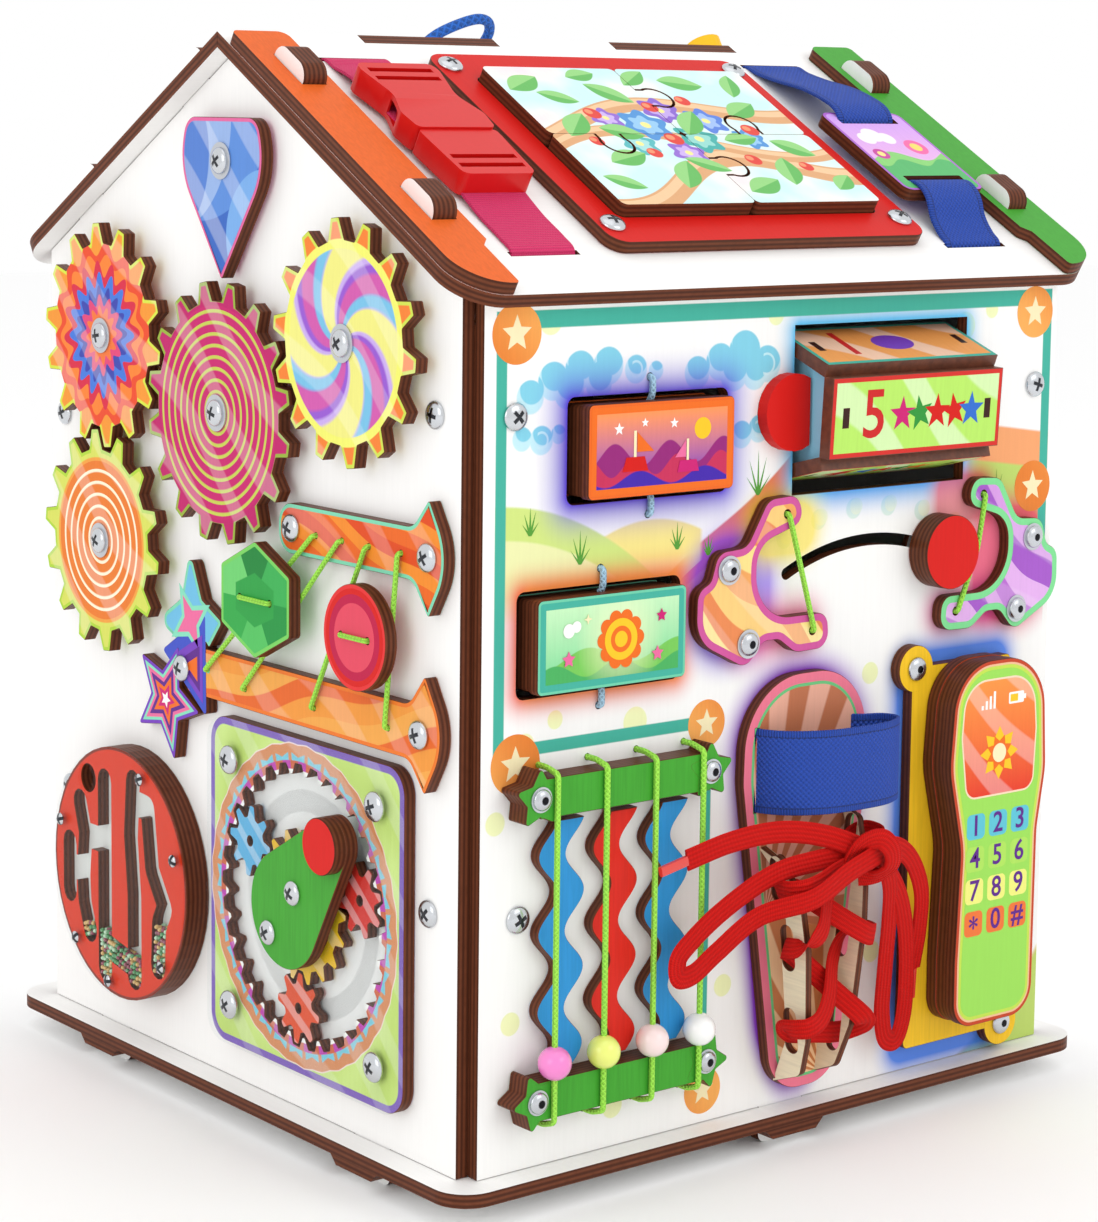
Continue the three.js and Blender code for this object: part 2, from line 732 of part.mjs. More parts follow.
{
  const { x, y, halfWidth: half, rise, shoulder } = hexButton;
  const outline = rounded([
    [x, y - rise, 1.5],
    [x + half, y - shoulder, 1.5],
    [x + half, y + shoulder, 1.5],
    [x, y + rise, 1.5],
    [x - half, y + shoulder, 1.5],
    [x - half, y - shoulder, 1.5],
  ]);
  const holes = (middle, reach) => [-1, 1].map((way) => bar(middle.x + way * reach, middle.y, 1.7, 0, threePly, 10));
  const hexagon = cut(slab(outline, buttonBack, buttonBack + ply, 2), holes(hexButton, hexButton.holes));
  const disc = bar(roundButton.x, roundButton.y, roundButton.radius, buttonBack, buttonBack + ply, 32);
  piece(gableSide, "hexagon_button", look(0x3caa46, 0.45), hexagon);
  piece(gableSide, "round_button", look(0xdc2832, 0.45), cut(disc, holes(roundButton, roundButton.holes)));

  // One lace runs up and down through the rails, with its ends knotted behind the wall.
  const front = (point) => [...point, laceCord.proud];
  const behind = (point) => [...point, laceCord.behind];
  const route = [];
  upperHoles.forEach((top, index) => {
    const bottom = lowerHoles[index];
    const pair = index % 2 ? [bottom, top] : [top, bottom];
    route.push(behind(pair[0]), front(pair[0]), front(pair[1]), behind(pair[1]));
  });
  const lace = cord(route, laceCord.diameter, 0);
  const [first, last] = [route[0], route[route.length - 1]];
  const knots = [first, last].map(([x, y, z]) => knot(x, y, z - laceCord.diameter / 2, laceCord.diameter * 1.3));
  piece(gableSide, "lacing_cord", look(0xaaf050, 0.7), joined([lace, ...knots]));
}

// Maze disc: floor, maze layer with its channels, and a nut behind the wall
const mazeChannel = 6.2;
const mazeRoutes = [
  [[-46, 6], [-46, -17]],
  [[-36, 28], [-31, 13], [-33, -6], [-32, -20], [-27, -33]],
  [[-13, 42], [-13, -49]],
  [[-31, 13], [-13, 13]],
  [[-46, -5], [-33, -5]],
  [[-13, -37], [14, -42]],
  [[13, 46], [11, 20], [14, -8], [14, -47]],
  [[13, 37], [26, 36], [30, 8], [41, -8], [36, -17], [35, -37]],
];
const fingerHole = { x: -28, y: 41, radius: 7 };

{
  const { x, y, radius, back, floor, face, axle: shaft } = maze;
  const disc = bar(x, y, radius, back, face, 48);
  const channels = mazeRoutes.flatMap((route) =>
    route.slice(1).map((end, index) => {
      const [x0, y0] = route[index];
      const [x1, y1] = end;
      return slab(slotOutline(x + x0, y + y0, x + x1, y + y1, mazeChannel), floor, threePly, 3);
    }),
  );
  const finger = bar(x + fingerHole.x, y + fingerHole.y, fingerHole.radius, -ply, threePly, 20);
  const shank = bar(x, y, shaft / 2, -ply - gap - overrun, floor - overrun, 14);
  const nut = bar(x, y, axleScrew.nut, -ply - gap - axleScrew.nutDepth, -ply - gap, 14);
  const turning = joined([cut(disc, [joined(channels), finger]), shank, nut]);
  piece(gableSide, "maze_disc", look(0xe64628, 0.4), turning);
}

// Gearbox: a ring gear with three planets and a sun gear turned by a crank
const ringTeeth = 33;
const sunTeeth = 17;
const planetTeeth = 8;
const boxModule = 3.68;
const orbit = (boxModule * (sunTeeth + planetTeeth)) / 2;
const ringRows = [[63.2, 7.2], [58.3, 1.8]];
const sunRows = [[28.8, 6.8], [34.3, 2.4]];
const planetRows = [[11, 6.2], [16.4, 3.4]];
const planetStep = (2 * Math.PI) / (ringTeeth + sunTeeth);
const firstPlanet = THREE.MathUtils.degToRad(15.5);
const planets = [
  { name: "planet_red", angle: firstPlanet, color: 0xe12d32 },
  { name: "planet_blue", angle: firstPlanet + 19 * planetStep, color: 0x78bee6 },
  { name: "planet_orange", angle: firstPlanet - 15 * planetStep, color: 0xe65032 },
];
const carrier = { face: 0.8, halfBreadth: 5, pin: 2, pinTop: 3 };
const sunBack = 1.1;
const crank = { hub: 23, back: 9, end: 26, tipX: 35.2, tipY: 36, tip: 12.4, knobTop: 21 };
const windowHole = 25.6;

{
  const { x, y, side: breadth, shiftX, shiftY, corner, window } = gearbox;
  const half = breadth / 2;
  const [left, bottom] = [x + shiftX - half, y + shiftY - half];
  const outline = () => roundedBox(left, left + breadth, bottom, bottom + breadth, corner);
  const ringPhase = THREE.MathUtils.degToRad(-0.5);
  const planetPhase = (angle) => angle - ((angle - ringPhase) * ringTeeth - Math.PI) / planetTeeth;
  const firstTurn = (firstPlanet + Math.PI - planetPhase(firstPlanet)) * planetTeeth;
  const sunPhase = firstPlanet - (Math.PI - firstTurn) / sunTeeth;

  const pocket = new THREE.Shape(toothed(x, y, ringTeeth, ringPhase, ringRows));
  const plate = cut(slab(outline(), gap, ply), [slab(pocket, -ply, twoPly)]);
  piece(gableSide, "ring_gear_plate", look(0xbedc5a, 0.45), plate);

  const opening = bar(x, y, windowHole, 0, threePly, 32);
  piece(gableSide, "gearbox_window", clear(), cut(slab(outline(), ply + gap, ply + gap + window), [opening]));

  const sun = slab(new THREE.Shape(toothed(x, y, sunTeeth, sunPhase, sunRows)), sunBack, ply);
  const hub = bar(x, y, crank.hub, ply - overrun, crank.back + overrun, 32);
  const tip = [x + crank.tipX, y + crank.tipY];
  const lean = Math.atan2(crank.tipY, crank.tipX);
  const spread = Math.acos((crank.end - crank.tip) / Math.hypot(crank.tipX, crank.tipY));
  const arm = new THREE.Shape();
  arm.absarc(...tip, crank.tip, lean - spread, lean + spread, false);
  arm.absarc(x, y, crank.end, lean + spread, lean - spread + 2 * Math.PI, false);
  arm.closePath();
  const armFace = crank.back + ply;
  const knob = bar(...tip, crank.tip, armFace - overrun, crank.knobTop, 28);
  const shaft = bar(x, y, crankAxle / 2, -ply - gap - overrun, sunBack + overrun, 16);
  const nut = bar(x, y, axleScrew.nut, -ply - gap - axleScrew.nutDepth, -ply - gap, 16);
  const crankSun = joined([sun, hub, slab(arm, crank.back, armFace, 14), knob, shaft, nut]);
  piece(gableSide, "crank_sun_gear", look(0x46aa3c, 0.45), crankSun);

  // A thin carrier ring turns on the wall. Its pins reach into the planets' backs.
  const ring = cut(bar(x, y, orbit + carrier.halfBreadth, gap, carrier.face, 36), [
    bar(x, y, orbit - carrier.halfBreadth, 0, ply, 36),
  ]);
  const centres = planets.map(({ angle }) => [x + orbit * Math.cos(angle), y + orbit * Math.sin(angle)]);
  const pins = centres.map(([px, py]) => bar(px, py, carrier.pin, gap, carrier.pinTop, 8));
  piece(gableSide, "planet_carrier", clear(), joined([ring, ...pins]));

  planets.forEach(({ name, angle, color }, index) => {
    const [px, py] = centres[index];
    const outline = new THREE.Shape(toothed(px, py, planetTeeth, planetPhase(angle), planetRows));
    const bore = bar(px, py, carrier.pin + gap, 0, carrier.pinTop + gap, 8);
    piece(gableSide, name, look(color, 0.4), cut(slab(outline, sunBack, ply), [bore]));
  });
}

// Flip blocks and their cord
{
  const middle = -ply / 2;
  const block = ({ x, y }) => {
    const halfWide = flipBlock.width / 2;
    const halfHigh = flipBlock.height / 2;
    const outline = roundedBox(x - halfWide, x + halfWide, y - halfHigh, y + halfHigh, flipBlock.corner);
    const body = slab(outline, middle - twoPly, middle + twoPly, 3);
    const bore = turned(0, 0, [
      [0, -halfHigh - overrun],
      [flipBlock.mouth, -halfHigh - overrun],
      [flipBlock.mouth, -halfHigh],
      [flipBlock.bore / 2, -halfHigh + flipBlock.mouthDepth],
      [flipBlock.bore / 2, halfHigh - flipBlock.mouthDepth],
      [flipBlock.mouth, halfHigh],
      [flipBlock.mouth, halfHigh + overrun],
      [0, halfHigh + overrun],
    ], 12);
    return cut(body, [bore.rotate([-90, 0, 0]).translate([x, y, middle])]);
  };
  piece(frontSide, "flip_block_upper", look(0xe67832, 0.45), block(upperFlip));
  piece(frontSide, "flip_block_lower", look(0x5ac8aa, 0.45), block(lowerFlip));

  // The cord leads out above each block, down through it and back in below it.
  const past = ({ x, y }) => {
    const halfOpening = flipOpening.height / 2;
    const inside = flipBlock.height / 2 - flipBlock.mouthDepth;
    const half = [
      [x, flipCord.reach, flipCord.behind],
      [x, flipCord.reach, flipCord.proud],
      [x, halfOpening - 0.6, flipCord.proud],
      [x, inside, middle],
    ];
    const upper = half.map(([px, up, z]) => [px, y + up, z]);
    const lower = half.map(([px, up, z]) => [px, y - up, z]).reverse();
    return [...upper, ...lower];
  };
  const route = [...past(upperFlip), ...past(lowerFlip)];
  const [first, last] = [route[0], route[route.length - 1]];
  const knots = [first, last].map(([x, y, z]) => knot(x, y, z - flipCord.diameter / 2, flipCord.diameter));
  piece(frontSide, "flip_cord", look(0x96c8eb, 0.75), joined([cord(route, flipCord.diameter, 0), ...knots]));
}

// Number drum: five boards round a core whose ends are recessed. It rests with one board
// leaning a little downwards.
{
  const { faces, breadth, endPlay, y, depth, recess, bore } = drum;
  const x0 = drumOpening.x0 + endPlay;
  const x1 = drumOpening.x1 - endPlay;
  const sector = Math.PI / faces;
  const inner = (breadth / 2 - gap) / Math.tan(sector);
  const lean = THREE.MathUtils.degToRad(drum.lean);
  const boards = Array.from({ length: faces }, (_, index) => {
    const board = new THREE.BoxGeometry(x1 - x0, breadth, ply);
    board.translate((x0 + x1) / 2, 0, inner + ply / 2).rotateX(lean + 2 * sector * index);
    return solidOf(board);
  });
  const coreCorner = (inner + gap) / Math.cos(sector);
  const core = new THREE.CylinderGeometry(coreCorner, coreCorner, x1 - x0 - 2 * recess, faces);
  core.rotateY(sector).rotateZ(quarterTurn).rotateX(lean).translate((x0 + x1) / 2, 0, 0);
  const hole = new THREE.CylinderGeometry(bore / 2, bore / 2, 2 * (x1 - x0), 16);
  hole.rotateZ(quarterTurn).translate((x0 + x1) / 2, 0, 0);
  const body = cut(joined([solidOf(core), ...boards]), [solidOf(hole)]);
  piece(frontSide, "number_drum", look(0xaae65a, 0.45), body.translate([0, y, depth]));
}

// Knob that slides along the arc slot
const arcKnob = { angle: 68.8, radius: 17, stem: 2.45, plate: 12, plateBack: 9.3 };
{
  const angle = THREE.MathUtils.degToRad(arcKnob.angle);
  const x = slideArc.x + slideArc.radius * Math.cos(angle);
  const y = slideArc.y + slideArc.radius * Math.sin(angle);
  const knobBody = bar(x, y, arcKnob.radius, gap, twoPly, 28);
  const stem = bar(x, y, arcKnob.stem, -ply - gap - overrun, gap + overrun, 12);
  const plate = bar(x, y, arcKnob.plate, -arcKnob.plateBack, -ply - gap, 24);
  piece(frontSide, "arc_slider", look(0xe12d28, 0.4), joined([knobBody, stem, plate]));
}

// Crescents beside the arc, each with two cord holes
const crescentMirror = 230;
const crescentHoles = [[168.4, 267.5], [184.9, 214.5]];
const crescentHole = 1.9;
{
  const outline = rounded([
    [116.8, 216.1, 16],
    [145.8, 201.6, 7],
    [155.8, 212.6, 6],
    [164.8, 212.6, 6],
    [174.8, 205.6, 10],
    [195.3, 206.1, 7],
    [193.8, 222, 6.5],
    [150.8, 222, 20],
    [151.2, 255.1, 13],
    [178.8, 263.6, 6.2],
    [174.8, 275.6, 7],
    [157.3, 274.6, 8],
    [145.3, 254.6, 8],
    [128.8, 253.6, 7],
    [124.8, 241.1, 5],
    [117.3, 237.6, 7],
  ]);
  const holes = crescentHoles.map(([x, y]) => bar(x, y, crescentHole, -ply, threePly, 10));
  const left = cut(slab(outline, gap, ply, 4), holes);
  const right = left.mirror([1, 0, 0]).translate([2 * crescentMirror, 0, 0]);
  piece(frontSide, "crescent_left", look(0xf0a050, 0.45), left);
  piece(frontSide, "crescent_right", look(0xaa50c8, 0.45), right);
}

// Bead rack: two bars with star ends, three wavy strips, a cord and its beads
const rackBar = { left: 28.4, right: 121.4, upper: 160.6, lower: 32.5, half: 8.3, star: 13.6, inner: 7.4 };
const rackProud = 13.6;
const beads = [
  { name: "bead_pink", color: 0xf078c8 },
  { name: "bead_yellow", color: 0xebf06e },
  { name: "bead_blush", color: 0xf8dce6 },
  { name: "bead_white", color: 0xf8f8eb },
];
const bead = { radius: 7.2, bore: 1.6 };
const wave = { y0: 43.5, y1: 148.8, period: 33, swing: 5, half: 7.2, steps: 20 };
const waves = [
  { name: "wavy_strip_left", x: 44.6, color: 0x3291d7 },
  { name: "wavy_strip_middle", x: 73.6, color: 0xe1281e },
  { name: "wavy_strip_right", x: 102, color: 0x3291d7 },
];

{
  const rackSide = (name, y, leans) => {
    const { left, right, half } = rackBar;
    const ends = [left, right].map((x, index) => {
      const lean = THREE.MathUtils.degToRad(leans[index]);
      return slab(star(x, y, 5, rackBar.star, rackBar.inner, lean), gap, twoPly);
    });
    const straight = box(left, right, y - half, y + half, gap, twoPly);
    piece(frontSide, name, look(0x46aa3c, 0.5), joined([straight, ...ends]));
  };
  rackSide("rack_bar_upper", rackBar.upper, [90, 90]);
  rackSide("rack_bar_lower", rackBar.lower, [40, 68]);

  waves.forEach(({ name, x, color }) => {
    const edge = [];
    for (let step = 0; step <= wave.steps; step += 1) {
      const y = wave.y0 + (step / wave.steps) * (wave.y1 - wave.y0);
      edge.push([x + wave.swing * Math.sin((2 * Math.PI * (y - wave.y0)) / wave.period), y]);
    }
    const right = edge.map(([ex, ey]) => new THREE.Vector2(ex + wave.half, ey));
    const left = edge.map(([ex, ey]) => new THREE.Vector2(ex - wave.half, ey)).reverse();
    piece(frontSide, name, look(color, 0.5), slab(new THREE.Shape([...right, ...left]), gap, ply));
  });

  const route = rackCord.xs.flatMap((x, index) => {
    const half = rackBar.half + rackCord.diameter / 2 + gap;
    const down = [
      [x, rackCord.top, -ply - 2],
      [x, rackCord.top, 1],
      [x, rackBar.upper + half, rackProud],
      [x, rackBar.lower - half, rackProud],
      [x, rackCord.bottom, 1],
      [x, rackCord.bottom, -ply - 2],
    ];
    return index % 2 ? down.reverse() : down;
  });
  const [first, last] = [route[0], route[route.length - 1]];
  const knots = [first, last].map(([x, y, z]) => knot(x, y, z - rackCord.diameter / 2, rackCord.diameter * 1.1));
  const strand = cord(route, rackCord.diameter, 0);
  piece(frontSide, "rack_cord", look(0xaaf050, 0.7), joined([strand, ...knots]));

  beads.forEach(({ name, color }, index) => {
    const profile = [];
    const rings = 6;
    const opening = Math.asin(bead.bore / bead.radius);
    for (let ring = 0; ring <= rings; ring += 1) {
      const angle = -quarterTurn + opening + (ring / rings) * (Math.PI - 2 * opening);
      profile.push([bead.radius * Math.cos(angle), bead.radius * Math.sin(angle)]);
    }
    profile.push(profile[0]);
    const rest = rackBar.lower + rackBar.half + bead.radius + gap;
    const ball = turned(0, 0, profile, 12).rotate([-90, 0, 0]).translate([rackCord.xs[index], rest, rackProud]);
    piece(frontSide, name, look(color, 0.2), ball);
  });
}

// A band drawn in the plane of x and z that is broad along y.
function crossBand(line, thickness, y0, y1, steps) {
  return slab(bandOutline(line, thickness, steps), -y1, -y0).rotate([90, 0, 0]);
}

// A band drawn in the plane of y and z that is broad along x.
function lengthBand(line, thickness, x0, x1, steps) {
  return slab(bandOutline(line, thickness, steps), x0, x1).rotate([90, 0, 90]);
}

// Shoe: sole, two upright fins with lace holes, strap and lace
const finThickness = 3.5;
const finReach = 31.5;
const leftFin = {
  foot: [170.2, 12.5],
  head: [157.9, 122],
  profile: [[0, 4], [110, 4], [104, 19], [91, 29.5], [66, finReach], [24, 27.5], [7, 22]],
  holes: [[27.3, 18.2], [66, 19.8], [96.5, 15.7]],
};
const rightFin = {
  foot: [193.5, 12.2],
  head: [208.5, 134],
  profile: [[0, 4], [122.5, 4], [118, 15], [100, 22.5], [72, 25.5], [26, 24.5], [6, 18]],
  holes: [[23, 15.4], [65.3, 14], [108.5, 12]],
};
const laceOval = { length: 21, height: 8 };
const shoeStrap = { thickness: 1.6, bulge: 28.5, side: 226 };
const shoeLace = { diameter: 3 };

function fin({ foot, head, profile, holes }) {
  const lean = Math.atan2(head[1] - foot[1], head[0] - foot[0]);
  const corners = profile.map(([along, height], index) => [along, height, index > 1 ? 5 : 0]);
  const sheet = slab(rounded(corners), -finThickness / 2, finThickness / 2, 3);
  const half = (laceOval.length - laceOval.height) / 2;
  const ovals = holes.map(([along, height]) =>
    slab(slotOutline(along - half, height, along + half, height, laceOval.height / 2), -ply, ply, 4),
  );
  const turn = THREE.MathUtils.radToDeg(lean);
  return cut(sheet, ovals).rotate([90, 0, turn]).translate([...foot, 0]);
}

{
  const sole = rounded([
    [166, 7.5, 19],
    [206, 7.5, 19],
    [221, 160, 30],
    [214, 196, 30],
    [147, 196, 33],
    [145.5, 150, 30],
  ]);
  const { left, right, y0, y1, breadth } = strapSlot;
  const slots = [left, right].map((x) => box(x - breadth / 2, x + breadth / 2, y0, y1, -ply, twoPly));
  const shoe = joined([cut(slab(sole, gap, ply, 4), slots), fin(leftFin), fin(rightFin)]);
  piece(frontSide, "shoe_sole", look(0xc88250, 0.5), shoe);

  const { thickness, bulge, side: outer } = shoeStrap;
  const inside = -ply - 5;
  const line = [
    [left, inside],
    [left, -2],
    [left + 0.3, ply],
    [left + 7, bulge * 0.6],
    [left + 22, bulge * 0.9],
    [left + 42, bulge],
    [outer - 12, bulge * 0.95],
    [outer - overrun, bulge * 0.7],
    [outer - 3, bulge * 0.45],
    [right + 4, bulge * 0.3],
    [right, ply - overrun],
    [right, -2],
    [right, inside],
  ];
  const strap = crossBand(line, thickness, y0 + gap, y1 - gap, 32);
  piece(frontSide, "shoe_strap", look(0x2346aa, 0.8), strap);

  // The lace: left end, right loop, criss-cross through the fins, left loop, right end.
  const route = [
    [98.7, 127, 23],
    [124, 131.5, 23.5],
    [150, 132.4, 25],
    [172, 128.5, 28.5],
    [190, 121.5, 32.5],
    [204, 114, 32.5],
    [214, 102, 28.5],
    [221, 82, 22],
    [224.5, 56, 16.5],
    [227, 34, 13],
    [231.5, 22, 11.5],
    [238, 20, 11],
    [241.8, 29, 11.5],
    [240.5, 50, 14.5],
    [234, 75, 19.5],
    [223, 95, 25],
    [210, 108, 28.4],
    [196, 113, 28.6],
    [178, 112, 32.5],
    [166, 109, 34.2],
    [158, 107.5, 34],
    [153.6, 106.5, 29.5],
    [153.6, 106, 20],
    [159.6, 106, 15.6],
    [170, 101, 18],
    [188, 88, 26],
    [202, 79.5, 28.5],
    [208, 78, 25.5],
    [209.2, 77.5, 17],
    [202, 76, 13.6],
    [192, 69, 17],
    [180, 54, 27],
    [171, 46.5, 31.3],
    [164, 44, 31.3],
    [160.6, 43, 27],
    [160.8, 41.5, 20],
    [167.3, 38, 17.4],
    [180, 35.5, 15.5],
    [196.5, 32.5, 15],
    [203, 33, 16.5],
    [204.5, 37, 24],
    [199.5, 42, 28.8],
    [190, 52, 23.5],
    [178, 64, 18.5],
    [162.7, 76.5, 18.5],
    [157.2, 79, 22],
    [156.6, 81, 31],
    [161.5, 84, 35.2],
    [168, 88, 34.3],
    [181, 99, 23.5],
    [196, 112, 15],
    [207.5, 120.5, 11.4],
    [214, 122, 14],
    [213.6, 121.5, 24],
    [206, 120, 28.4],
    [192, 117.4, 28.6],
    [172, 117.5, 28.4],
    [148, 114.5, 25.5],
    [122, 103.5, 23.5],
    [103, 92, 23],
    [94.8, 84.5, 23],
    [95.5, 77, 23],
    [102.5, 76.5, 23],
    [116, 84, 23.2],
    [138, 97, 26],
    [160, 104, 37.5],
    [180, 112.5, 37.5],
    [198, 117.5, 36.5],
    [216, 117, 29.5],
    [232, 108, 24],
    [242.5, 92, 20.5],
    [246.6, 72, 16],
    [247.4, 52, 11.5],
  ];
  piece(frontSide, "shoe_lace", look(0xd71e1e, 0.8), cord(route, shoeLace.diameter, 0));
}

// Toy phone on its plate
const phone = { back: ply + gap, face: fourPly };
const phonePlate = { x0: 248, x1: 313, y0: 12, y1: 191, corner: 3, ear: 10.8 };
const phoneEars = [[250.5, 190.2], [313, 13.4]];
{
  const { x0, x1, y0, y1, corner, ear } = phonePlate;
  const plate = roundedBox(x0, x1, y0, y1, corner);
  const ears = phoneEars.map(([x, y]) => bar(x, y, ear, gap, ply, 28));
  piece(frontSide, "phone_plate", look(0xf0be2d, 0.5), joined([slab(plate, gap, ply, 3), ...ears]));
  const outline = rounded([
    [262.3, 23.1, 12],
    [314.1, 23.1, 14],
    [314.6, 111.1, 40],
    [319.4, 139.1, 40],
    [316.3, 193.5, 26],
    [259.3, 193.5, 24],
    [255.6, 145.1, 40],
    [264.3, 107.1, 40],
    [262, 54.1, 60],
  ]);
  piece(frontSide, "toy_phone", look(0xa0e65a, 0.45), slab(outline, phone.back, phone.face, 5));
}

// Puzzle on the roof: a frame and four pieces with knobs that fit each other
const puzzle = {
  x0: 98, x1: 250.5, y0: 38, y1: 154.5, top: threePly, play: 0.6, knob: 7.5, neck: 5, stem: 6.4, socket: 1.5,
};
const puzzleFrame = { x0: 82, x1: 268, y0: 18, y1: 176, corner: 9 };
{
  const { x0, x1, y0, y1, play, knob, neck, stem: halfStem, socket } = puzzle;
  const frame = puzzleFrame;
  const outer = roundedBox(frame.x0, frame.x1, frame.y0, frame.y1, frame.corner);
  const well = roundedBox(x0 - play, x1 + play, y0 - play, y1 + play, 4);
  const rim = cut(slab(outer, ply + gap, twoPly), [slab(well, 0, threePly, 3)]);
  piece(frontRoof, "puzzle_frame", look(0xd73228, 0.45), rim);

  const [xm, ym] = [(x0 + x1) / 2, (y0 + y1) / 2];
  const reach = knob + neck - play;
  const knobs = [
    { from: "upper_left", to: "upper_right", x: xm, y: ym + (y1 - ym) * 0.55, along: [1, 0] },
    { from: "upper_left", to: "lower_left", x: x0 + (xm - x0) * 0.42, y: ym, along: [0, -1] },
    { from: "lower_left", to: "lower_right", x: xm, y: y0 + (ym - y0) * 0.52, along: [1, 0] },
    { from: "lower_right", to: "upper_right", x: xm + (x1 - xm) * 0.55, y: ym, along: [0, 1] },
  ];
  const tongue = ({ x, y, along: [ax, ay] }, grow) => {
    const tip = [x + ax * (reach - knob / 2), y + ay * (reach - knob / 2)];
    const stem = slotOutline(x - ax * neck, y - ay * neck, ...tip, halfStem + grow);
    const round = bar(...tip, knob + grow, 0, fourPly, 22);
    return slab(stem, 0, fourPly, 4).add(round);
  };
  const pieces = {
    upper_left: [x0, xm - gap / 2, ym + gap / 2, y1],
    upper_right: [xm + gap / 2, x1, ym + gap / 2, y1],
    lower_left: [x0, xm - gap / 2, y0, ym - gap / 2],
    lower_right: [xm + gap / 2, x1, y0, ym - gap / 2],
  };
  const layer = box(x0, x1, y0, y1, ply + 2 * gap, puzzle.top);
  for (const [name, [left, right, bottom, top]] of Object.entries(pieces)) {
    const own = knobs.filter(({ from }) => from === name).map((each) => tongue(each, 0));
    const others = knobs.filter(({ from }) => from !== name).map((each) => tongue(each, socket));
    const panel = slab(roundedBox(left, right, bottom, top, 3), 0, fourPly, 3);
    const whole = cut(joined([panel, ...own]), others).intersect(layer);
    piece(frontRoof, `puzzle_${name}`, look(0xf2e6d2, 0.45), whole);
  }
}

// Webbing with a release buckle
const buckle = { x: 48, back: 8.3, face: 20, mouth: 98, end: 152, foot: 62, wall: 2.4, play: 0.4 };
const throat = { half: 18.6, depth: 16 };
const cavity = { half: 16, depth: 32 };
const catchWindow = { x: 19, half: 8, near: 15, far: 27 };
const webSlot = { half: 17, halfBreadth: 1.6, socketPlaces: [6, 13], plugPlaces: [7, 14] };
const guideBar = { half: 3, root: 4, reach: 28 };
{
  const { x0, x1, upper, lower, thickness } = webbing;
  const flat = ply + gap + thickness / 2 + 0.1;
  const line = [
    [upper, -5],
    [upper, 2],
    [upper, 6.2],
    [upper - 2, 9],
    [upper - 6, 9.4],
    [upper - 16, flat],
    [upper - 40, flat],
    [lower + 40, flat],
    [lower + 16, flat],
    [lower + 6, 9.4],
    [lower + 2, 9],
    [lower, 6.2],
    [lower, 2],
    [lower, -5],
  ];
  piece(frontRoof, "webbing", look(0xd72864, 0.85), lengthBand(line, thickness, x0, x1, 24));

  const { x, back, face, mouth, end, foot, wall, play } = buckle;
  const socketOutline = rounded([
    [x - 20.5, mouth, 3],
    [x + 20.5, mouth, 3],
    [x + 22, mouth + 12, 6],
    [x + 16.5, mouth + 27, 16],
    [x + 21, end - 6, 5],
    [x + 20, end, 4],
    [x - 20, end, 4],
    [x - 21, end - 6, 5],
    [x - 16.5, mouth + 27, 16],
    [x - 22, mouth + 12, 6],
  ]);
  const hollow = ({ half, depth }) =>
    box(x - half, x + half, mouth - overrun, mouth + depth, back + wall, face - wall);
  const windows = [-1, 1].map((way) => {
    const middle = x + way * catchWindow.x;
    const [left, right] = [middle - catchWindow.half, middle + catchWindow.half];
    return box(left, right, mouth + catchWindow.near, mouth + catchWindow.far, back + wall, face - wall);
  });
  const slotAt = (y) =>
    box(x - webSlot.half, x + webSlot.half, y - webSlot.halfBreadth, y + webSlot.halfBreadth, 0, fourPly);
  const openings = [hollow(throat), hollow(cavity), ...windows];
  const socketSlots = webSlot.socketPlaces.map((place) => slotAt(end - place));
  const socket = cut(slab(socketOutline, back, face, 4), [...openings, ...socketSlots]);
  piece(frontRoof, "buckle_socket", look(0xdc2823, 0.35), socket);

  const plugBody = rounded([
    [x - 19, foot, 4],
    [x + 19, foot, 4],
    [x + 20.5, mouth - gap - 6, 4],
    [x + 20.5, mouth - gap, 2],
    [x - 20.5, mouth - gap, 2],
    [x - 20.5, mouth - gap - 6, 4],
  ]);
  const tongueBack = back + wall + play;
  const tongueFace = face - wall - play;
  const prongs = [-1, 1].map((way) => {
    const corners = [
      [x + way * 15.4, mouth - 4],
      [x + way * 15.4, mouth + 15.4],
      [x + way * 18.2, mouth + 17],
      [x + way * 13, mouth + 26],
      [x + way * 9, mouth + 26],
      [x + way * 9.5, mouth - 4],
    ];
    const outline = new THREE.Shape(corners.map(([px, py]) => new THREE.Vector2(px, py)));
    return slab(outline, tongueBack, tongueFace);
  });
  const { half, root, reach } = guideBar;
  const guide = box(x - half, x + half, mouth - root, mouth + reach, tongueBack, tongueFace);
  const plugSlots = webSlot.plugPlaces.map((place) => slotAt(foot + place));
  const plug = cut(slab(plugBody, back, face - overrun, 3), plugSlots);
  piece(frontRoof, "buckle_plug", look(0xdc2823, 0.35), joined([plug, ...prongs, guide]));
}

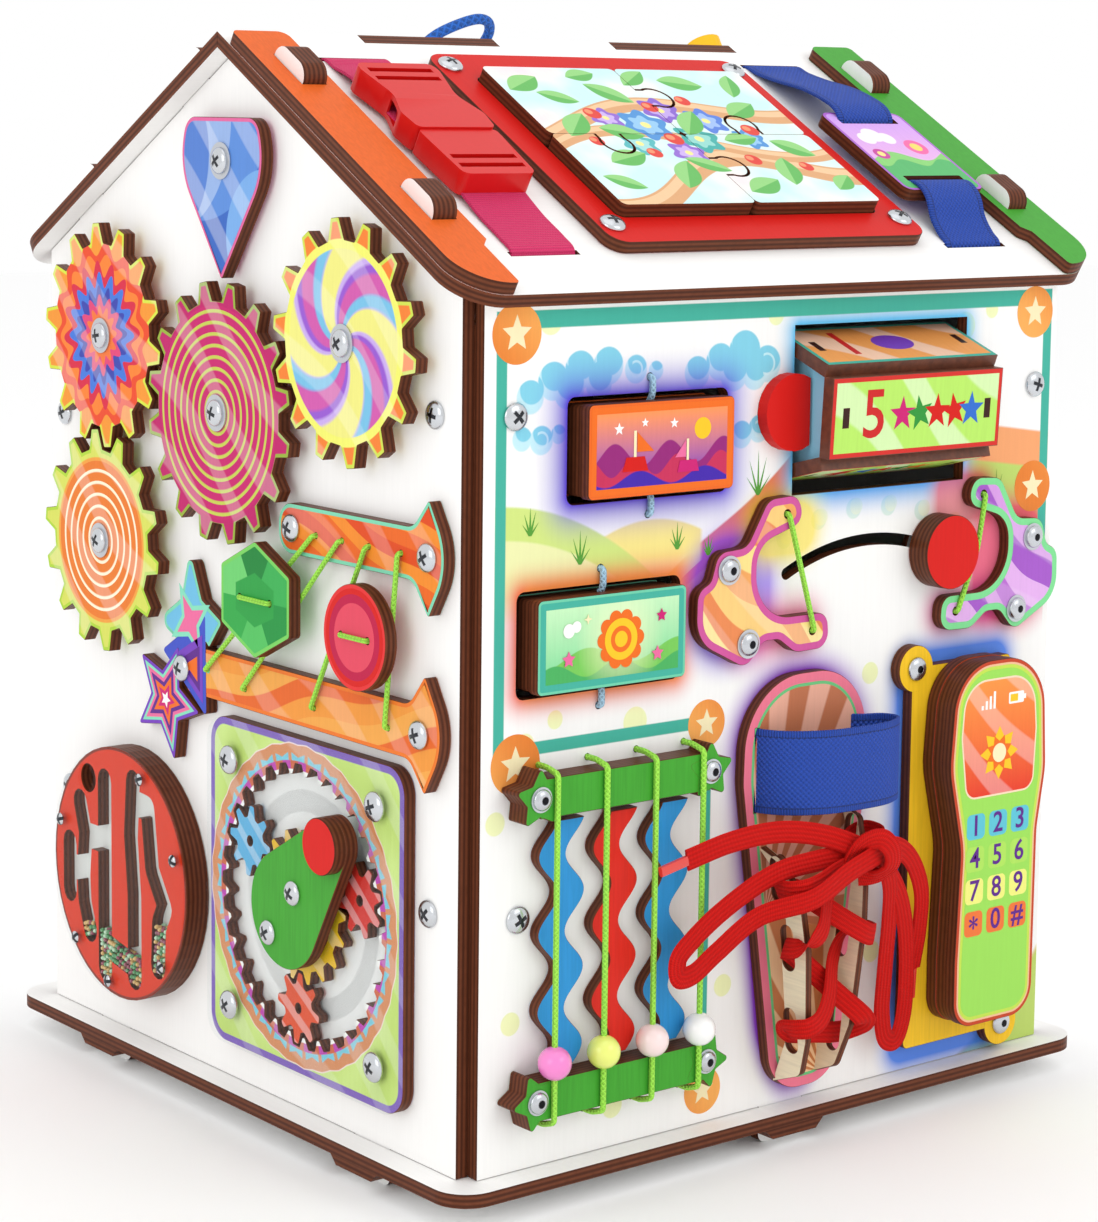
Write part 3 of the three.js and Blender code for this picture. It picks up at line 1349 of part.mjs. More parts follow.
// Card on its band
const card = { x0: 274, x1: 326, y0: 46, y1: 116, back: 12.5, slots: [108, 56], corner: 5 };
{
  const { x0, x1, upper, lower, thickness } = blueBand;
  const { back, slots, corner } = card;
  const face = back + ply;
  const outline = roundedBox(card.x0, card.x1, card.y0, card.y1, corner);
  const openings = slots.map((y) =>
    box(x0 - bandSlot.play, x1 + bandSlot.play, y - bandSlot.breadth, y + bandSlot.breadth, 0, fourPly),
  );
  piece(frontRoof, "strap_card", look(0xd28ce0, 0.45), cut(slab(outline, back, face, 3), openings));

  const over = face + 2;
  const under = back - 2;
  const line = [
    [upper, -5],
    [upper, 2],
    [upper, 6.4],
    [upper - 4, 10.5],
    [upper - 18, 14.5],
    [upper - 40, 18.5],
    [slots[0] + 14, over],
    [slots[0] + 5, over],
    [slots[0] + 0.6, face - 1],
    [slots[0] - 0.6, back + 1],
    [slots[0] - 5, under],
    [slots[0] - 14, under],
    [slots[1] + 14, under],
    [slots[1] + 5, under],
    [slots[1] + 0.6, back + 1],
    [slots[1] - 0.6, face - 1],
    [slots[1] - 5, over],
    [slots[1] - 14, over - 0.4],
    [lower + 14, 16.5],
    [lower + 4, 11],
    [lower, 6.4],
    [lower, 2],
    [lower, -5],
  ];
  piece(frontRoof, "card_strap", look(0x2346aa, 0.8), lengthBand(line, thickness, x0, x1, 48));
}

// Rope handle behind the ridge
{
  const [[firstX, firstY], [lastX, lastY]] = handle.holes;
  const route = [
    [firstX, firstY, -12],
    [firstX, firstY, -2],
    [firstX, firstY, 6],
    [236.5, 180, 11],
    [229, 185, 16.5],
    [216, 189.3, 21],
    [203, 190.5, 23.8],
    [195, 187, 24],
    [191, 180.5, 22.5],
    [191.5, 174, 20],
    [196.5, 170.2, 16.5],
    [203.5, 171.5, 13.8],
    [209.5, 175, 11],
    [lastX, lastY, 6.5],
    [lastX, lastY, -3],
    [lastX, lastY, -12],
  ];
  piece(backRoof, "rope_handle", look(0x1e6ed2, 0.7), cord(route, handle.diameter, 0, 10));
}

// The whole toy's box runs from the crank's knob to the base's far edge, and from the shoe's
// higher fin to the base's back edge. Its middle lies over the origin.
house.position.x = -(houseWidth + baseOverhang - crank.knobTop) / 2;
house.position.y = -(houseDepth + baseOverhang - finReach) / 2;

export default group;
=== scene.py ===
"""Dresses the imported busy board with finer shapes, paint, cords and straps, seen from the photo's angle."""

import math
import random

import bpy
import numpy as np
from mathutils import Matrix, Vector
from mathutils.geometry import tessellate_polygon


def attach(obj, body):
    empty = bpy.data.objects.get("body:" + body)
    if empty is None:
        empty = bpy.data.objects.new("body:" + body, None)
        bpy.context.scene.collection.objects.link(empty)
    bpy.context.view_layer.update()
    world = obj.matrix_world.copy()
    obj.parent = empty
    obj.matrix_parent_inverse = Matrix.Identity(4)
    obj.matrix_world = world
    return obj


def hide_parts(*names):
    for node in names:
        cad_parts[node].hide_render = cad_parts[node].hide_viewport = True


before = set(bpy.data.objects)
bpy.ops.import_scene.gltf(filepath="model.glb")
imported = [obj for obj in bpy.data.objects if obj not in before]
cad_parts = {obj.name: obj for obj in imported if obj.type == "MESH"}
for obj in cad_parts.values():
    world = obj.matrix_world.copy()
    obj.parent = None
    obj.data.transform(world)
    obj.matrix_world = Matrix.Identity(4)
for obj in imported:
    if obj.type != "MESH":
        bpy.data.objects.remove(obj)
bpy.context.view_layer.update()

MM = 0.001
TAU = 2 * math.pi
PLY = 6.0
GAP = 0.3


# Sides of the house: local x runs right, y up and z out of the wall, in metres
def side_matrix(right, up, out, origin):
    columns = [Vector(axis) for axis in (right, up, out)]
    matrix = Matrix.Identity(4)
    for index, axis in enumerate(columns):
        matrix.col[index] = (*axis, 0)
    matrix.col[3] = (*[value * MM for value in origin], 1)
    return matrix


COS30 = math.cos(math.radians(30))
SIN30 = 0.5
BASE_TOP = 16.5
FRONT = side_matrix((1, 0, 0), (0, 0, 1), (0, -1, 0), (-171, -162.75, BASE_TOP))
BACK = side_matrix((-1, 0, 0), (0, 0, 1), (0, 1, 0), (179, 181.25, BASE_TOP))
GABLE = side_matrix((0, -1, 0), (0, 0, 1), (-1, 0, 0), (-171, 9.25, BASE_TOP))
RIGHT = side_matrix((0, 1, 0), (0, 0, 1), (1, 0, 0), (179, 9.25, BASE_TOP))
ROOF = side_matrix((1, 0, 0), (0, COS30, SIN30), (0, -SIN30, COS30), (-171, -162.75, 383.5))
BACK_ROOF = side_matrix((-1, 0, 0), (0, -COS30, SIN30), (0, SIN30, COS30), (179, 181.25, 383.5))
LEVEL = Matrix.Identity(4)


# Materials
def rgb(red, green, blue):
    """A colour as a screen shows it, in the linear values that a shader takes."""
    def linear(value):
        share = value / 255
        return share / 12.92 if share <= 0.04045 else ((share + 0.055) / 1.055) ** 2.4
    return (linear(red), linear(green), linear(blue), 1.0)


class Field:
    """A number that a material works out at each point, so that a pattern can be written as a sum."""

    def __init__(self, look, socket):
        self.look = look
        self.socket = socket

    def math(self, operation, *others, clamp=False):
        node = self.look.tree.nodes.new("ShaderNodeMath")
        node.operation = operation
        node.use_clamp = clamp
        for index, value in enumerate((self, *others)):
            if isinstance(value, Field):
                self.look.tree.links.new(value.socket, node.inputs[index])
            else:
                node.inputs[index].default_value = value
        return Field(self.look, node.outputs[0])

    def __add__(self, other):
        return self.math("ADD", other)

    __radd__ = __add__

    def __sub__(self, other):
        return self.math("SUBTRACT", other)

    def __rsub__(self, other):
        return (self * -1.0) + other

    def __mul__(self, other):
        return self.math("MULTIPLY", other)

    __rmul__ = __mul__

    def __truediv__(self, other):
        return self.math("DIVIDE", other)

    def sin(self):
        return self.math("SINE")

    def abs(self):
        return self.math("ABSOLUTE")

    def root(self):
        return self.math("SQRT")

    def least(self, other):
        return self.math("MINIMUM", other)

    def most(self, other):
        return self.math("MAXIMUM", other)

    def part(self):
        return self.math("FRACT")

    def angle(self, x):
        return self.math("ARCTAN2", x)

    def inside(self, edge=0.12):
        """1 where this is above 0, softened over the edge."""
        return (self / edge + 0.5).math("ADD", 0.0, clamp=True)

    def above(self, limit):
        return self.math("GREATER_THAN", limit)

    def below(self, limit):
        return self.math("LESS_THAN", limit)


class Look:
    """A material under construction."""

    def __init__(self, name, rough=0.5, side=None, metal=0.0, coat=0.0):
        self.material = bpy.data.materials.new(name)
        self.material.use_nodes = True
        self.tree = self.material.node_tree
        self.shader = self.tree.nodes["Principled BSDF"]
        self.shader.inputs["Roughness"].default_value = rough
        self.shader.inputs["Metallic"].default_value = metal
        self.shader.inputs["Coat Weight"].default_value = coat
        self.shader.inputs["Coat Roughness"].default_value = 0.12
        self.coordinates = self.tree.nodes.new("ShaderNodeTexCoord")
        self.side = side

    def link(self, start, end):
        self.tree.links.new(start.socket if isinstance(start, Field) else start, end)

    def vector(self, operation, first, second):
        node = self.tree.nodes.new("ShaderNodeVectorMath")
        node.operation = operation
        self.tree.links.new(first, node.inputs[0])
        if isinstance(second, (tuple, list)):
            node.inputs[1].default_value = second
        else:
            self.tree.links.new(second, node.inputs[1])
        return node

    def place(self):
        """The point in the side's own millimetres, as three fields."""
        position = self.coordinates.outputs["Object"]
        if self.side is None:
            node = self.tree.nodes.new("ShaderNodeSeparateXYZ")
            self.tree.links.new(position, node.inputs[0])
            return [Field(self, output) / MM for output in node.outputs]
        fields = []
        origin = self.side.translation
        for index in range(3):
            axis = self.side.col[index].to_3d()
            dot = self.vector("DOT_PRODUCT", position, tuple(axis))
            fields.append((Field(self, dot.outputs["Value"]) - origin.dot(axis)) / MM)
        return fields

    def edge(self):
        """1 on the cut edges of a board, where the surface turns away from the board's own axis."""
        axis = (0.0, 0.0, 1.0) if self.side is None else tuple(self.side.col[2].to_3d())
        dot = self.vector("DOT_PRODUCT", self.coordinates.outputs["Normal"], axis)
        return Field(self, dot.outputs["Value"]).abs().below(0.8)

    def surface(self):
        """The two map coordinates of the mesh, in millimetres."""
        node = self.tree.nodes.new("ShaderNodeSeparateXYZ")
        self.tree.links.new(self.coordinates.outputs["UV"], node.inputs[0])
        return [Field(self, output) / MM for output in node.outputs[:2]]

    def noise(self, scale, detail=3.0, stretch=(1, 1, 1)):
        """Noise between 0 and 1 in the object's own space; scale counts per metre."""
        mapping = self.tree.nodes.new("ShaderNodeMapping")
        mapping.inputs["Scale"].default_value = stretch
        self.tree.links.new(self.coordinates.outputs["Object"], mapping.inputs[0])
        node = self.tree.nodes.new("ShaderNodeTexNoise")
        node.inputs["Scale"].default_value = scale
        node.inputs["Detail"].default_value = detail
        self.tree.links.new(mapping.outputs[0], node.inputs["Vector"])
        return Field(self, node.outputs[0])

    def mix(self, share, first, second):
        node = self.tree.nodes.new("ShaderNodeMix")
        node.data_type = "RGBA"
        for value, socket in ((share, node.inputs[0]), (first, node.inputs[6]), (second, node.inputs[7])):
            if isinstance(value, Field):
                self.tree.links.new(value.socket, socket)
            elif isinstance(value, (int, float, tuple)):
                socket.default_value = value
            else:
                self.tree.links.new(value, socket)
        return node.outputs[2]

    def shade(self, colour, amount):
        """The colour made darker by a field between 0 and 1."""
        return self.mix(amount, colour, (0.0, 0.0, 0.0, 1.0))

    def paint(self, colour):
        if isinstance(colour, tuple):
            self.shader.inputs["Base Color"].default_value = colour
        else:
            self.tree.links.new(colour, self.shader.inputs["Base Color"])

    def bump(self, height, strength=0.3, distance=0.0002):
        node = self.tree.nodes.new("ShaderNodeBump")
        node.inputs["Strength"].default_value = strength
        node.inputs["Distance"].default_value = distance
        self.link(height, node.inputs["Height"])
        self.tree.links.new(node.outputs[0], self.shader.inputs["Normal"])


BURNT = rgb(54, 26, 16)
VENEER = rgb(132, 72, 46)
WHITE = rgb(250, 249, 247)
PRINT_GLOSS = 0.12


def board(name, colour, pattern=None, rough=0.45, side=None, grain=0.06, along="y", edges=True, coat=0.05,
          over=None):
    """Painted plywood: a coloured face with faint grain, and laser burnt edges that show the plies."""
    look = Look(name, rough, side, coat=coat)
    look.shader.inputs["Specular IOR Level"].default_value = PRINT_GLOSS
    x, y, z = look.place()
    stretch = (1.0, 0.05, 1.0) if along == "y" else (0.05, 1.0, 1.0)
    if side is not None:
        axis = side.col[1 if along == "y" else 0].to_3d()
        stretch = tuple(1 - 0.95 * abs(value) for value in axis)
    fibres = look.noise(900.0, 3.0, stretch)
    clouds = look.noise(22.0, 2.0)
    face = pattern(look, x, y, z, colour) if pattern else colour
    face = look.shade(face, (fibres - 0.35).most(0.0) * grain * 2.2 + (clouds - 0.4).most(0.0) * grain * 0.6)
    if edges:
        burn = look.noise(260.0, 3.0)
        plies = ((z * (TAU / 2.4)).sin() * 0.5 + 0.5) * 0.55 + burn * 0.45
        rim = look.mix(plies, BURNT, VENEER)
        rim = look.shade(rim, (burn - 0.35).most(0.0) * 0.9)
        face = look.mix(look.edge(), face, rim)
    if over:
        face = over(look, x, y, z, face)
    look.paint(face)
    look.bump(fibres, 0.12, 0.0001)
    return look


def plain(name, colour, rough=0.4, metal=0.0, coat=0.0):
    look = Look(name, rough, metal=metal, coat=coat)
    look.paint(look.shade(colour, look.noise(90.0, 2.0) * 0.06))
    return look


def ink(name, colour):
    """A flat printed colour."""
    look = Look(name, 0.42, coat=0.05)
    look.shader.inputs["Specular IOR Level"].default_value = PRINT_GLOSS
    fibres = look.noise(900.0, 3.0, (1.0, 0.05, 1.0))
    look.paint(look.shade(colour, fibres * 0.07))
    return look


# Outlines, in millimetres, counterclockwise
def rounded(corners, fineness=2.2):
    points = []
    count = len(corners)
    for index, corner in enumerate(corners):
        x, y = corner[0], corner[1]
        radius = corner[2] if len(corner) > 2 else 0
        here = Vector((x, y))
        back = (Vector(corners[index - 1][:2]) - here).normalized()
        ahead = (Vector(corners[(index + 1) % count][:2]) - here).normalized()
        half = math.acos(max(-1.0, min(1.0, back.dot(ahead)))) / 2
        if not radius or half > math.pi / 2 - 0.01:
            points.append((x, y))
            continue
        reach = radius / math.tan(half)
        start, end = here + back * reach, here + ahead * reach
        centre = here + (back + ahead).normalized() * (radius / math.sin(half))
        first = math.atan2(start.y - centre.y, start.x - centre.x)
        last = math.atan2(end.y - centre.y, end.x - centre.x)
        turn = (last - first + math.pi) % TAU - math.pi
        steps = max(3, math.ceil(abs(turn) * math.sqrt(radius) * fineness))
        for step in range(steps + 1):
            angle = first + turn * step / steps
            points.append((centre.x + radius * math.cos(angle), centre.y + radius * math.sin(angle)))
    return points


def rounded_box(x0, x1, y0, y1, radius=0):
    return rounded([(x0, y0, radius), (x1, y0, radius), (x1, y1, radius), (x0, y1, radius)])


def circle(x, y, radius, count=72):
    return [(x + radius * math.cos(TAU * step / count), y + radius * math.sin(TAU * step / count))
            for step in range(count)]


def star(x, y, tips, outer, inner, phase=math.pi / 2, soft=0.0):
    points = []
    for index in range(2 * tips):
        radius = inner if index % 2 else outer
        angle = phase + index * math.pi / tips
        points.append((x + radius * math.cos(angle), y + radius * math.sin(angle), soft))
    return rounded(points) if soft else [point[:2] for point in points]


def toothed(x, y, teeth, phase, rows, soft=0.7, grow=0.0):
    points = []
    for tooth in range(teeth):
        middle = phase + tooth * TAU / teeth
        for way, ordered in ((-1, rows), (1, rows[::-1])):
            for radius, breadth in ordered:
                radius = radius + grow
                angle = middle + way * (breadth / 2 + grow) / radius
                points.append((x + radius * math.cos(angle), y + radius * math.sin(angle), soft))
    return rounded(points)


def slot(x0, y0, x1, y1, radius):
    lean = math.atan2(y1 - y0, x1 - x0)
    points = []
    for x, y, start in ((x1, y1, lean - math.pi / 2), (x0, y0, lean + math.pi / 2)):
        for step in range(17):
            angle = start + math.pi * step / 16
            points.append((x + radius * math.cos(angle), y + radius * math.sin(angle)))
    return points


def area(outline):
    total = 0.0
    for (x0, y0), (x1, y1) in zip(outline, outline[1:] + outline[:1]):
        total += x0 * y1 - x1 * y0
    return total / 2


def shrunk(outline, amount):
    """The outline moved inwards by an amount, or outwards where it is negative."""
    points = [point for index, point in enumerate(outline)
              if math.dist(point, outline[index - 1]) > 1e-4]
    if area(points) < 0:
        points = points[::-1]
    moved = []
    for index, point in enumerate(points):
        here = Vector(point)
        before = (here - Vector(points[index - 1])).normalized()
        after = (Vector(points[(index + 1) % len(points)]) - here).normalized()
        inward = Vector((-before.y - after.y, before.x + after.x))
        length = inward.length
        if length < 1e-6:
            moved.append(tuple(point))
            continue
        inward /= length
        share = max(0.35, inward.dot(Vector((-before.y, before.x))))
        moved.append(tuple(here + inward * (amount / share)))
    return moved


def curve_through(points, per=8):
    """A smooth line through the points, which may have two or three coordinates."""
    knots = [np.array(point, float) for point in points]
    knots = [2 * knots[0] - knots[1], *knots, 2 * knots[-1] - knots[-2]]
    line = []
    for index in range(1, len(knots) - 2):
        p0, p1, p2, p3 = knots[index - 1:index + 3]
        t1 = np.linalg.norm(p1 - p0) ** 0.5
        t2 = t1 + np.linalg.norm(p2 - p1) ** 0.5
        t3 = t2 + np.linalg.norm(p3 - p2) ** 0.5
        for step in range(per):
            t = t1 + (t2 - t1) * step / per
            a1 = (t1 - t) / t1 * p0 + t / t1 * p1
            a2 = (t2 - t) / (t2 - t1) * p1 + (t - t1) / (t2 - t1) * p2
            a3 = (t3 - t) / (t3 - t2) * p2 + (t - t2) / (t3 - t2) * p3
            b1 = (t2 - t) / t2 * a1 + t / t2 * a2
            b2 = (t3 - t) / (t3 - t1) * a2 + (t - t1) / (t3 - t1) * a3
            line.append((t2 - t) / (t2 - t1) * b1 + (t - t1) / (t2 - t1) * b2)
    line.append(knots[-2])
    return line


def bent(points, bend, steps=5):
    """Straight runs with each bend rounded."""
    knots = [np.array(point, float) for point in points]
    line = [knots[0]]
    for before, corner, after in zip(knots, knots[1:], knots[2:]):
        near = min(bend, np.linalg.norm(corner - before) / 2.1, np.linalg.norm(after - corner) / 2.1)
        start = corner + (before - corner) / np.linalg.norm(before - corner) * near
        end = corner + (after - corner) / np.linalg.norm(after - corner) * near
        for step in range(steps + 1):
            t = step / steps
            line.append((1 - t) ** 2 * start + 2 * t * (1 - t) * corner + t * t * end)
    line.append(knots[-1])
    return line


class Toy:
    """One visible piece, gathered from plates, inlays and round forms in a side's millimetres."""

    def __init__(self, name, side, body, replaces=(), smooth=35):
        self.name, self.side, self.body = name, side, body
        self.replaced, self.smooth = replaces, smooth
        self.points, self.faces, self.face_slots, self.maps, self.looks = [], [], [], [], []

    def add(self, points, faces, look, maps=None):
        if look.material not in self.looks:
            self.looks.append(look.material)
        base = len(self.points)
        self.points += [tuple(point) for point in points]
        self.maps += list(maps) if maps is not None else [(point[0], point[1]) for point in points]
        self.faces += [[base + index for index in face] for face in faces]
        self.face_slots += [self.looks.index(look.material)] * len(faces)
        return self

    def plate(self, outline, low, high, look, holes=(), bevel=0.25):
        """A board between two heights, with its edges a little broken."""
        loops = [(list(outline) if area(list(outline)) > 0 else list(outline)[::-1], 1)]
        loops += [(list(hole) if area(list(hole)) > 0 else list(hole)[::-1], -1) for hole in holes]
        points, faces = [], []
        top_loops, bottom_loops = [], []
        for loop, way in loops:
            clean = [point for index, point in enumerate(loop) if math.dist(point, loop[index - 1]) > 1e-4]
            inner = shrunk(clean, way * bevel) if bevel else clean
            if bevel:
                rings = [(inner, low), (clean, low + bevel), (clean, high - bevel), (inner, high)]
            else:
                rings = [(clean, low), (clean, high)]
            count = len(clean)
            start = len(points)
            for ring, height in rings:
                points += [(x, y, height) for x, y in ring]
            for level in range(len(rings) - 1):
                for index in range(count):
                    a = start + level * count + index
                    b = start + level * count + (index + 1) % count
                    quad = [a, b, b + count, a + count]
                    faces.append(quad if way > 0 else quad[::-1])
            bottom_loops.append(list(range(start, start + count)))
            top_loops.append(list(range(start + (len(rings) - 1) * count, start + len(rings) * count)))
        for loop_set, upward in ((top_loops, True), (bottom_loops, False)):
            flat = [index for loop in loop_set for index in loop]
            lines = [[Vector((points[index][0], points[index][1], 0)) for index in loop] for loop in loop_set]
            for triangle in tessellate_polygon(lines):
                corners = [flat[index] for index in triangle]
                (x0, y0, _), (x1, y1, _), (x2, y2, _) = [points[index] for index in corners]
                turn = (x1 - x0) * (y2 - y0) - (x2 - x0) * (y1 - y0)
                if (turn > 0) != upward:
                    corners = corners[::-1]
                faces.append(corners)
        return self.add(points, faces, look)

    def inlay(self, outline, height, look, holes=(), thickness=0.06):
        """A thin printed area that lies on a face at that height."""
        return self.plate(outline, height + 0.01, height + 0.01 + thickness, look, holes, 0)

    def turned(self, x, y, profile, look, count=64):
        """A solid of revolution about the axis at x, y; the profile lists radius and height upwards."""
        points, faces, maps = [], [], []
        for radius, height in profile:
            for step in range(count):
                angle = TAU * step / count
                dx, dy = radius * math.cos(angle), radius * math.sin(angle)
                points.append((x + dx, y + dy, height))
                maps.append((dx, dy))
        rows = len(profile)
        for row in range(rows - 1):
            for step in range(count):
                a, b = row * count + step, row * count + (step + 1) % count
                faces.append([a, b, b + count, a + count])
        faces.append(list(range(count))[::-1])
        faces.append(list(range((rows - 1) * count, rows * count)))
        return self.add(points, faces, look, maps)

    def disc(self, x, y, radius, low, high, look, bevel=0.5, count=96):
        """A round board or knob with broken edges."""
        profile = [(radius - bevel, low), (radius, low + bevel), (radius, high - bevel),
                   (radius - bevel, high)]
        return self.turned(x, y, profile, look, count)

    def ball(self, x, y, z, radius, look, count=40, squash=1.0):
        profile = []
        for step in range(1, count // 2):
            angle = math.pi * step / (count // 2)
            profile.append((radius * math.sin(angle), z - radius * squash * math.cos(angle)))
        return self.turned(x, y, profile, look, count)

    def sweep(self, line, section, look, out=(0, 0, 1), flat=False):
        """A section carried along a line; a flat section keeps its breadth across the outward direction."""
        line = [np.array(point, float) for point in line]
        line = [point for index, point in enumerate(line)
                if index == 0 or np.linalg.norm(point - line[index - 1]) > 1e-3]
        count, rings = len(section), len(line)
        tangents = []
        for index in range(rings):
            step = line[min(index + 1, rings - 1)] - line[max(index - 1, 0)]
            tangents.append(step / np.linalg.norm(step))
        normal = np.array(out, float)
        if abs(tangents[0].dot(normal)) > 0.9:
            normal = np.array((0.0, 1.0, 0.0))
        points, faces, maps, along = [], [], [], 0.0
        around = [0.0]
        for index in range(count):
            around.append(around[-1] + math.dist(section[index], section[(index + 1) % count]))
        for index, (point, tangent) in enumerate(zip(line, tangents)):
            wanted = np.array(out, float) if flat else normal
            wanted = wanted - tangent * wanted.dot(tangent)
            carried = normal - tangent * normal.dot(tangent)
            weight = 0.35 * np.linalg.norm(wanted) if flat else 0.0
            mixed = carried / max(np.linalg.norm(carried), 1e-6) + weight * wanted
            normal = mixed / np.linalg.norm(mixed)
            across = np.cross(tangent, normal)
            if index:
                along += np.linalg.norm(point - line[index - 1])
            for place, (breadth, height) in enumerate(section):
                points.append(point + across * breadth + normal * height)
                maps.append((along, around[place]))
        for ring in range(rings - 1):
            for step in range(count):
                a, b = ring * count + step, ring * count + (step + 1) % count
                faces.append([a, a + count, b + count, b])
        faces.append(list(range(count)))
        faces.append(list(range((rings - 1) * count, rings * count))[::-1])
        return self.add(points, faces, look, maps)

    def cord(self, line, radius, look, sides=14):
        section = [(radius * math.cos(TAU * step / sides), -radius * math.sin(TAU * step / sides))
                   for step in range(sides)]
        return self.sweep(line, section, look)

    def band(self, line, thickness, low, high, look, across="x"):
        """A strap of even thickness whose side view is the line; it runs across x, or across y."""
        line = [np.array(point, float) for point in line]
        points, faces, maps, along = [], [], [], 0.0
        for index, point in enumerate(line):
            step = line[min(index + 1, len(line) - 1)] - line[max(index - 1, 0)]
            step = step / np.linalg.norm(step)
            normal = np.array((-step[1], step[0])) * thickness / 2
            if index:
                along += np.linalg.norm(point - line[index - 1])
            edge = min(0.4, thickness / 3)
            for shift, place in ((-1, low + edge), (-0.3, low), (0.3, low), (1, low + edge),
                                 (1, high - edge), (0.3, high), (-0.3, high), (-1, high - edge)):
                at = point + normal * shift
                points.append((place, at[0], at[1]) if across == "x" else (at[0], place, at[1]))
                maps.append((along, place))
        count = 8
        for ring in range(len(line) - 1):
            for step in range(count):
                a, b = ring * count + step, ring * count + (step + 1) % count
                quad = [a, a + count, b + count, b]
                faces.append(quad if across == "x" else quad[::-1])
        faces.append(list(range(count)) if across == "x" else list(range(count))[::-1])
        last = list(range((len(line) - 1) * count, len(line) * count))
        faces.append(last[::-1] if across == "x" else last)
        return self.add(points, faces, look, maps)

    def text(self, words, size, x, y, height, look, turn=0.0, stretch=1.0):
        """Printed letters with their middle at x, y."""
        curve = bpy.data.curves.new("words", "FONT")
        curve.body = words
        curve.align_x, curve.align_y = "CENTER", "CENTER"
        curve.size = size
        curve.extrude = 0.04
        curve.resolution_u = 4
        curve.offset = size * 0.012
        letters = bpy.data.objects.new("words", curve)
        mesh = bpy.data.meshes.new_from_object(letters)
        points = []
        for vertex in mesh.vertices:
            dx, dy = vertex.co.x * stretch, vertex.co.y
            points.append((x + dx * math.cos(turn) - dy * math.sin(turn),
                           y + dx * math.sin(turn) + dy * math.cos(turn),
                           height + 0.05 + vertex.co.z))
        faces = [list(polygon.vertices) for polygon in mesh.polygons]
        bpy.data.objects.remove(letters)
        bpy.data.curves.remove(curve)
        bpy.data.meshes.remove(mesh)
        return self.add(points, faces, look)

    def build(self):
        mesh = bpy.data.meshes.new(self.name)
        mesh.from_pydata([(x * MM, y * MM, z * MM) for x, y, z in self.points], [], self.faces)
        for material in self.looks:
            mesh.materials.append(material)
        mesh.polygons.foreach_set("material_index", self.face_slots)
        mesh.polygons.foreach_set("use_smooth", [True] * len(mesh.polygons))
        layer = mesh.uv_layers.new(name="map")
        corners = np.zeros(len(mesh.loops), np.int32)
        mesh.loops.foreach_get("vertex_index", corners)
        maps = np.array(self.maps, float)[corners] * MM
        layer.data.foreach_set("uv", maps.astype(np.float32).ravel())
        mesh.update()
        mesh.set_sharp_from_angle(angle=math.radians(self.smooth))
        piece = bpy.data.objects.new(self.name, mesh)
        bpy.context.scene.collection.objects.link(piece)
        piece.matrix_world = self.side
        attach(piece, self.body)
        if self.replaced:
            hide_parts(*self.replaced)
        return piece


# Colours
ORANGE = rgb(240, 112, 34)
GREEN = rgb(70, 165, 52)
LEAF = rgb(52, 150, 60)
RED = rgb(214, 26, 20)
LIME = rgb(196, 224, 84)
PALE_LIME = rgb(214, 238, 140)
YELLOW = rgb(250, 200, 40)
MAGENTA = rgb(206, 34, 116)
VIOLET = rgb(122, 66, 190)
CYAN = rgb(96, 205, 225)
TEAL = rgb(70, 178, 158)
MINT = rgb(136, 222, 190)
BLUE = rgb(52, 112, 205)
PINK = rgb(236, 110, 160)
CREAM = rgb(250, 236, 190)
PAPER = rgb(252, 250, 246)

steel = Look("steel", 0.24, metal=1.0)
dx, dy = steel.surface()
# The cross drive is painted dark grey: painted shade inside its recess
cross = (0.75 - dx.abs()).least(3.1 - dy.abs()).most((0.75 - dy.abs()).least(3.1 - dx.abs())).inside(0.3)
steel.paint(steel.mix(cross, rgb(205, 208, 212), rgb(58, 60, 64)))
steel.bump(1.0 - cross, 0.9, 0.0012)

hex_steel = Look("hex_socket_steel", 0.26, metal=1.0)
dx, dy = hex_steel.surface()
# The hex socket is painted near black: painted shade inside the socket
socket = (1.7 - (dx * dx + dy * dy).root()).inside(0.3)
hex_steel.paint(hex_steel.mix(socket, rgb(200, 203, 208), rgb(34, 34, 38)))
hex_steel.bump(1.0 - socket, 0.9, 0.0012)

bright = plain("bright_steel", rgb(200, 203, 208), 0.28, metal=1.0)


def clear_look(name, tint, gloss=0.06, gloss_share=0.02):
    """Clear sheet: what lies behind shows through, and the surface keeps a sheen."""
    look = Look(name, 0.05)
    through = look.tree.nodes.new("ShaderNodeBsdfTransparent")
    through.inputs["Color"].default_value = tint
    sheen = look.tree.nodes.new("ShaderNodeBsdfGlossy")
    sheen.inputs["Roughness"].default_value = gloss
    mix = look.tree.nodes.new("ShaderNodeMixShader")
    mix.inputs[0].default_value = gloss_share
    look.tree.links.new(through.outputs[0], mix.inputs[1])
    look.tree.links.new(sheen.outputs[0], mix.inputs[2])
    output = look.tree.nodes["Material Output"]
    look.tree.links.new(mix.outputs[0], output.inputs["Surface"])
    return look


clear = clear_look("clear_sheet", (0.97, 0.98, 0.98, 1.0))


def braid(name, colour, pitch=2.2, sides=3.0, rough=0.7, depth=0.0006, shade=0.22):
    """Braided cord: strands that cross each other round the cord, with painted shade in the grooves between
    them.
    """
    look = Look(name, rough)
    along, around = look.surface()
    turn = TAU / pitch
    first = (along * turn + around * sides).sin()
    second = (along * turn - around * sides).sin()
    weave = first.most(second)
    fuzz = look.noise(1500.0, 2.0)
    # Painted shade in the grooves between strands, with fuzz as random tone
    look.paint(look.shade(colour, (1.0 - weave) * shade + fuzz * 0.12))
    look.bump(weave, 0.7, depth)
    return look


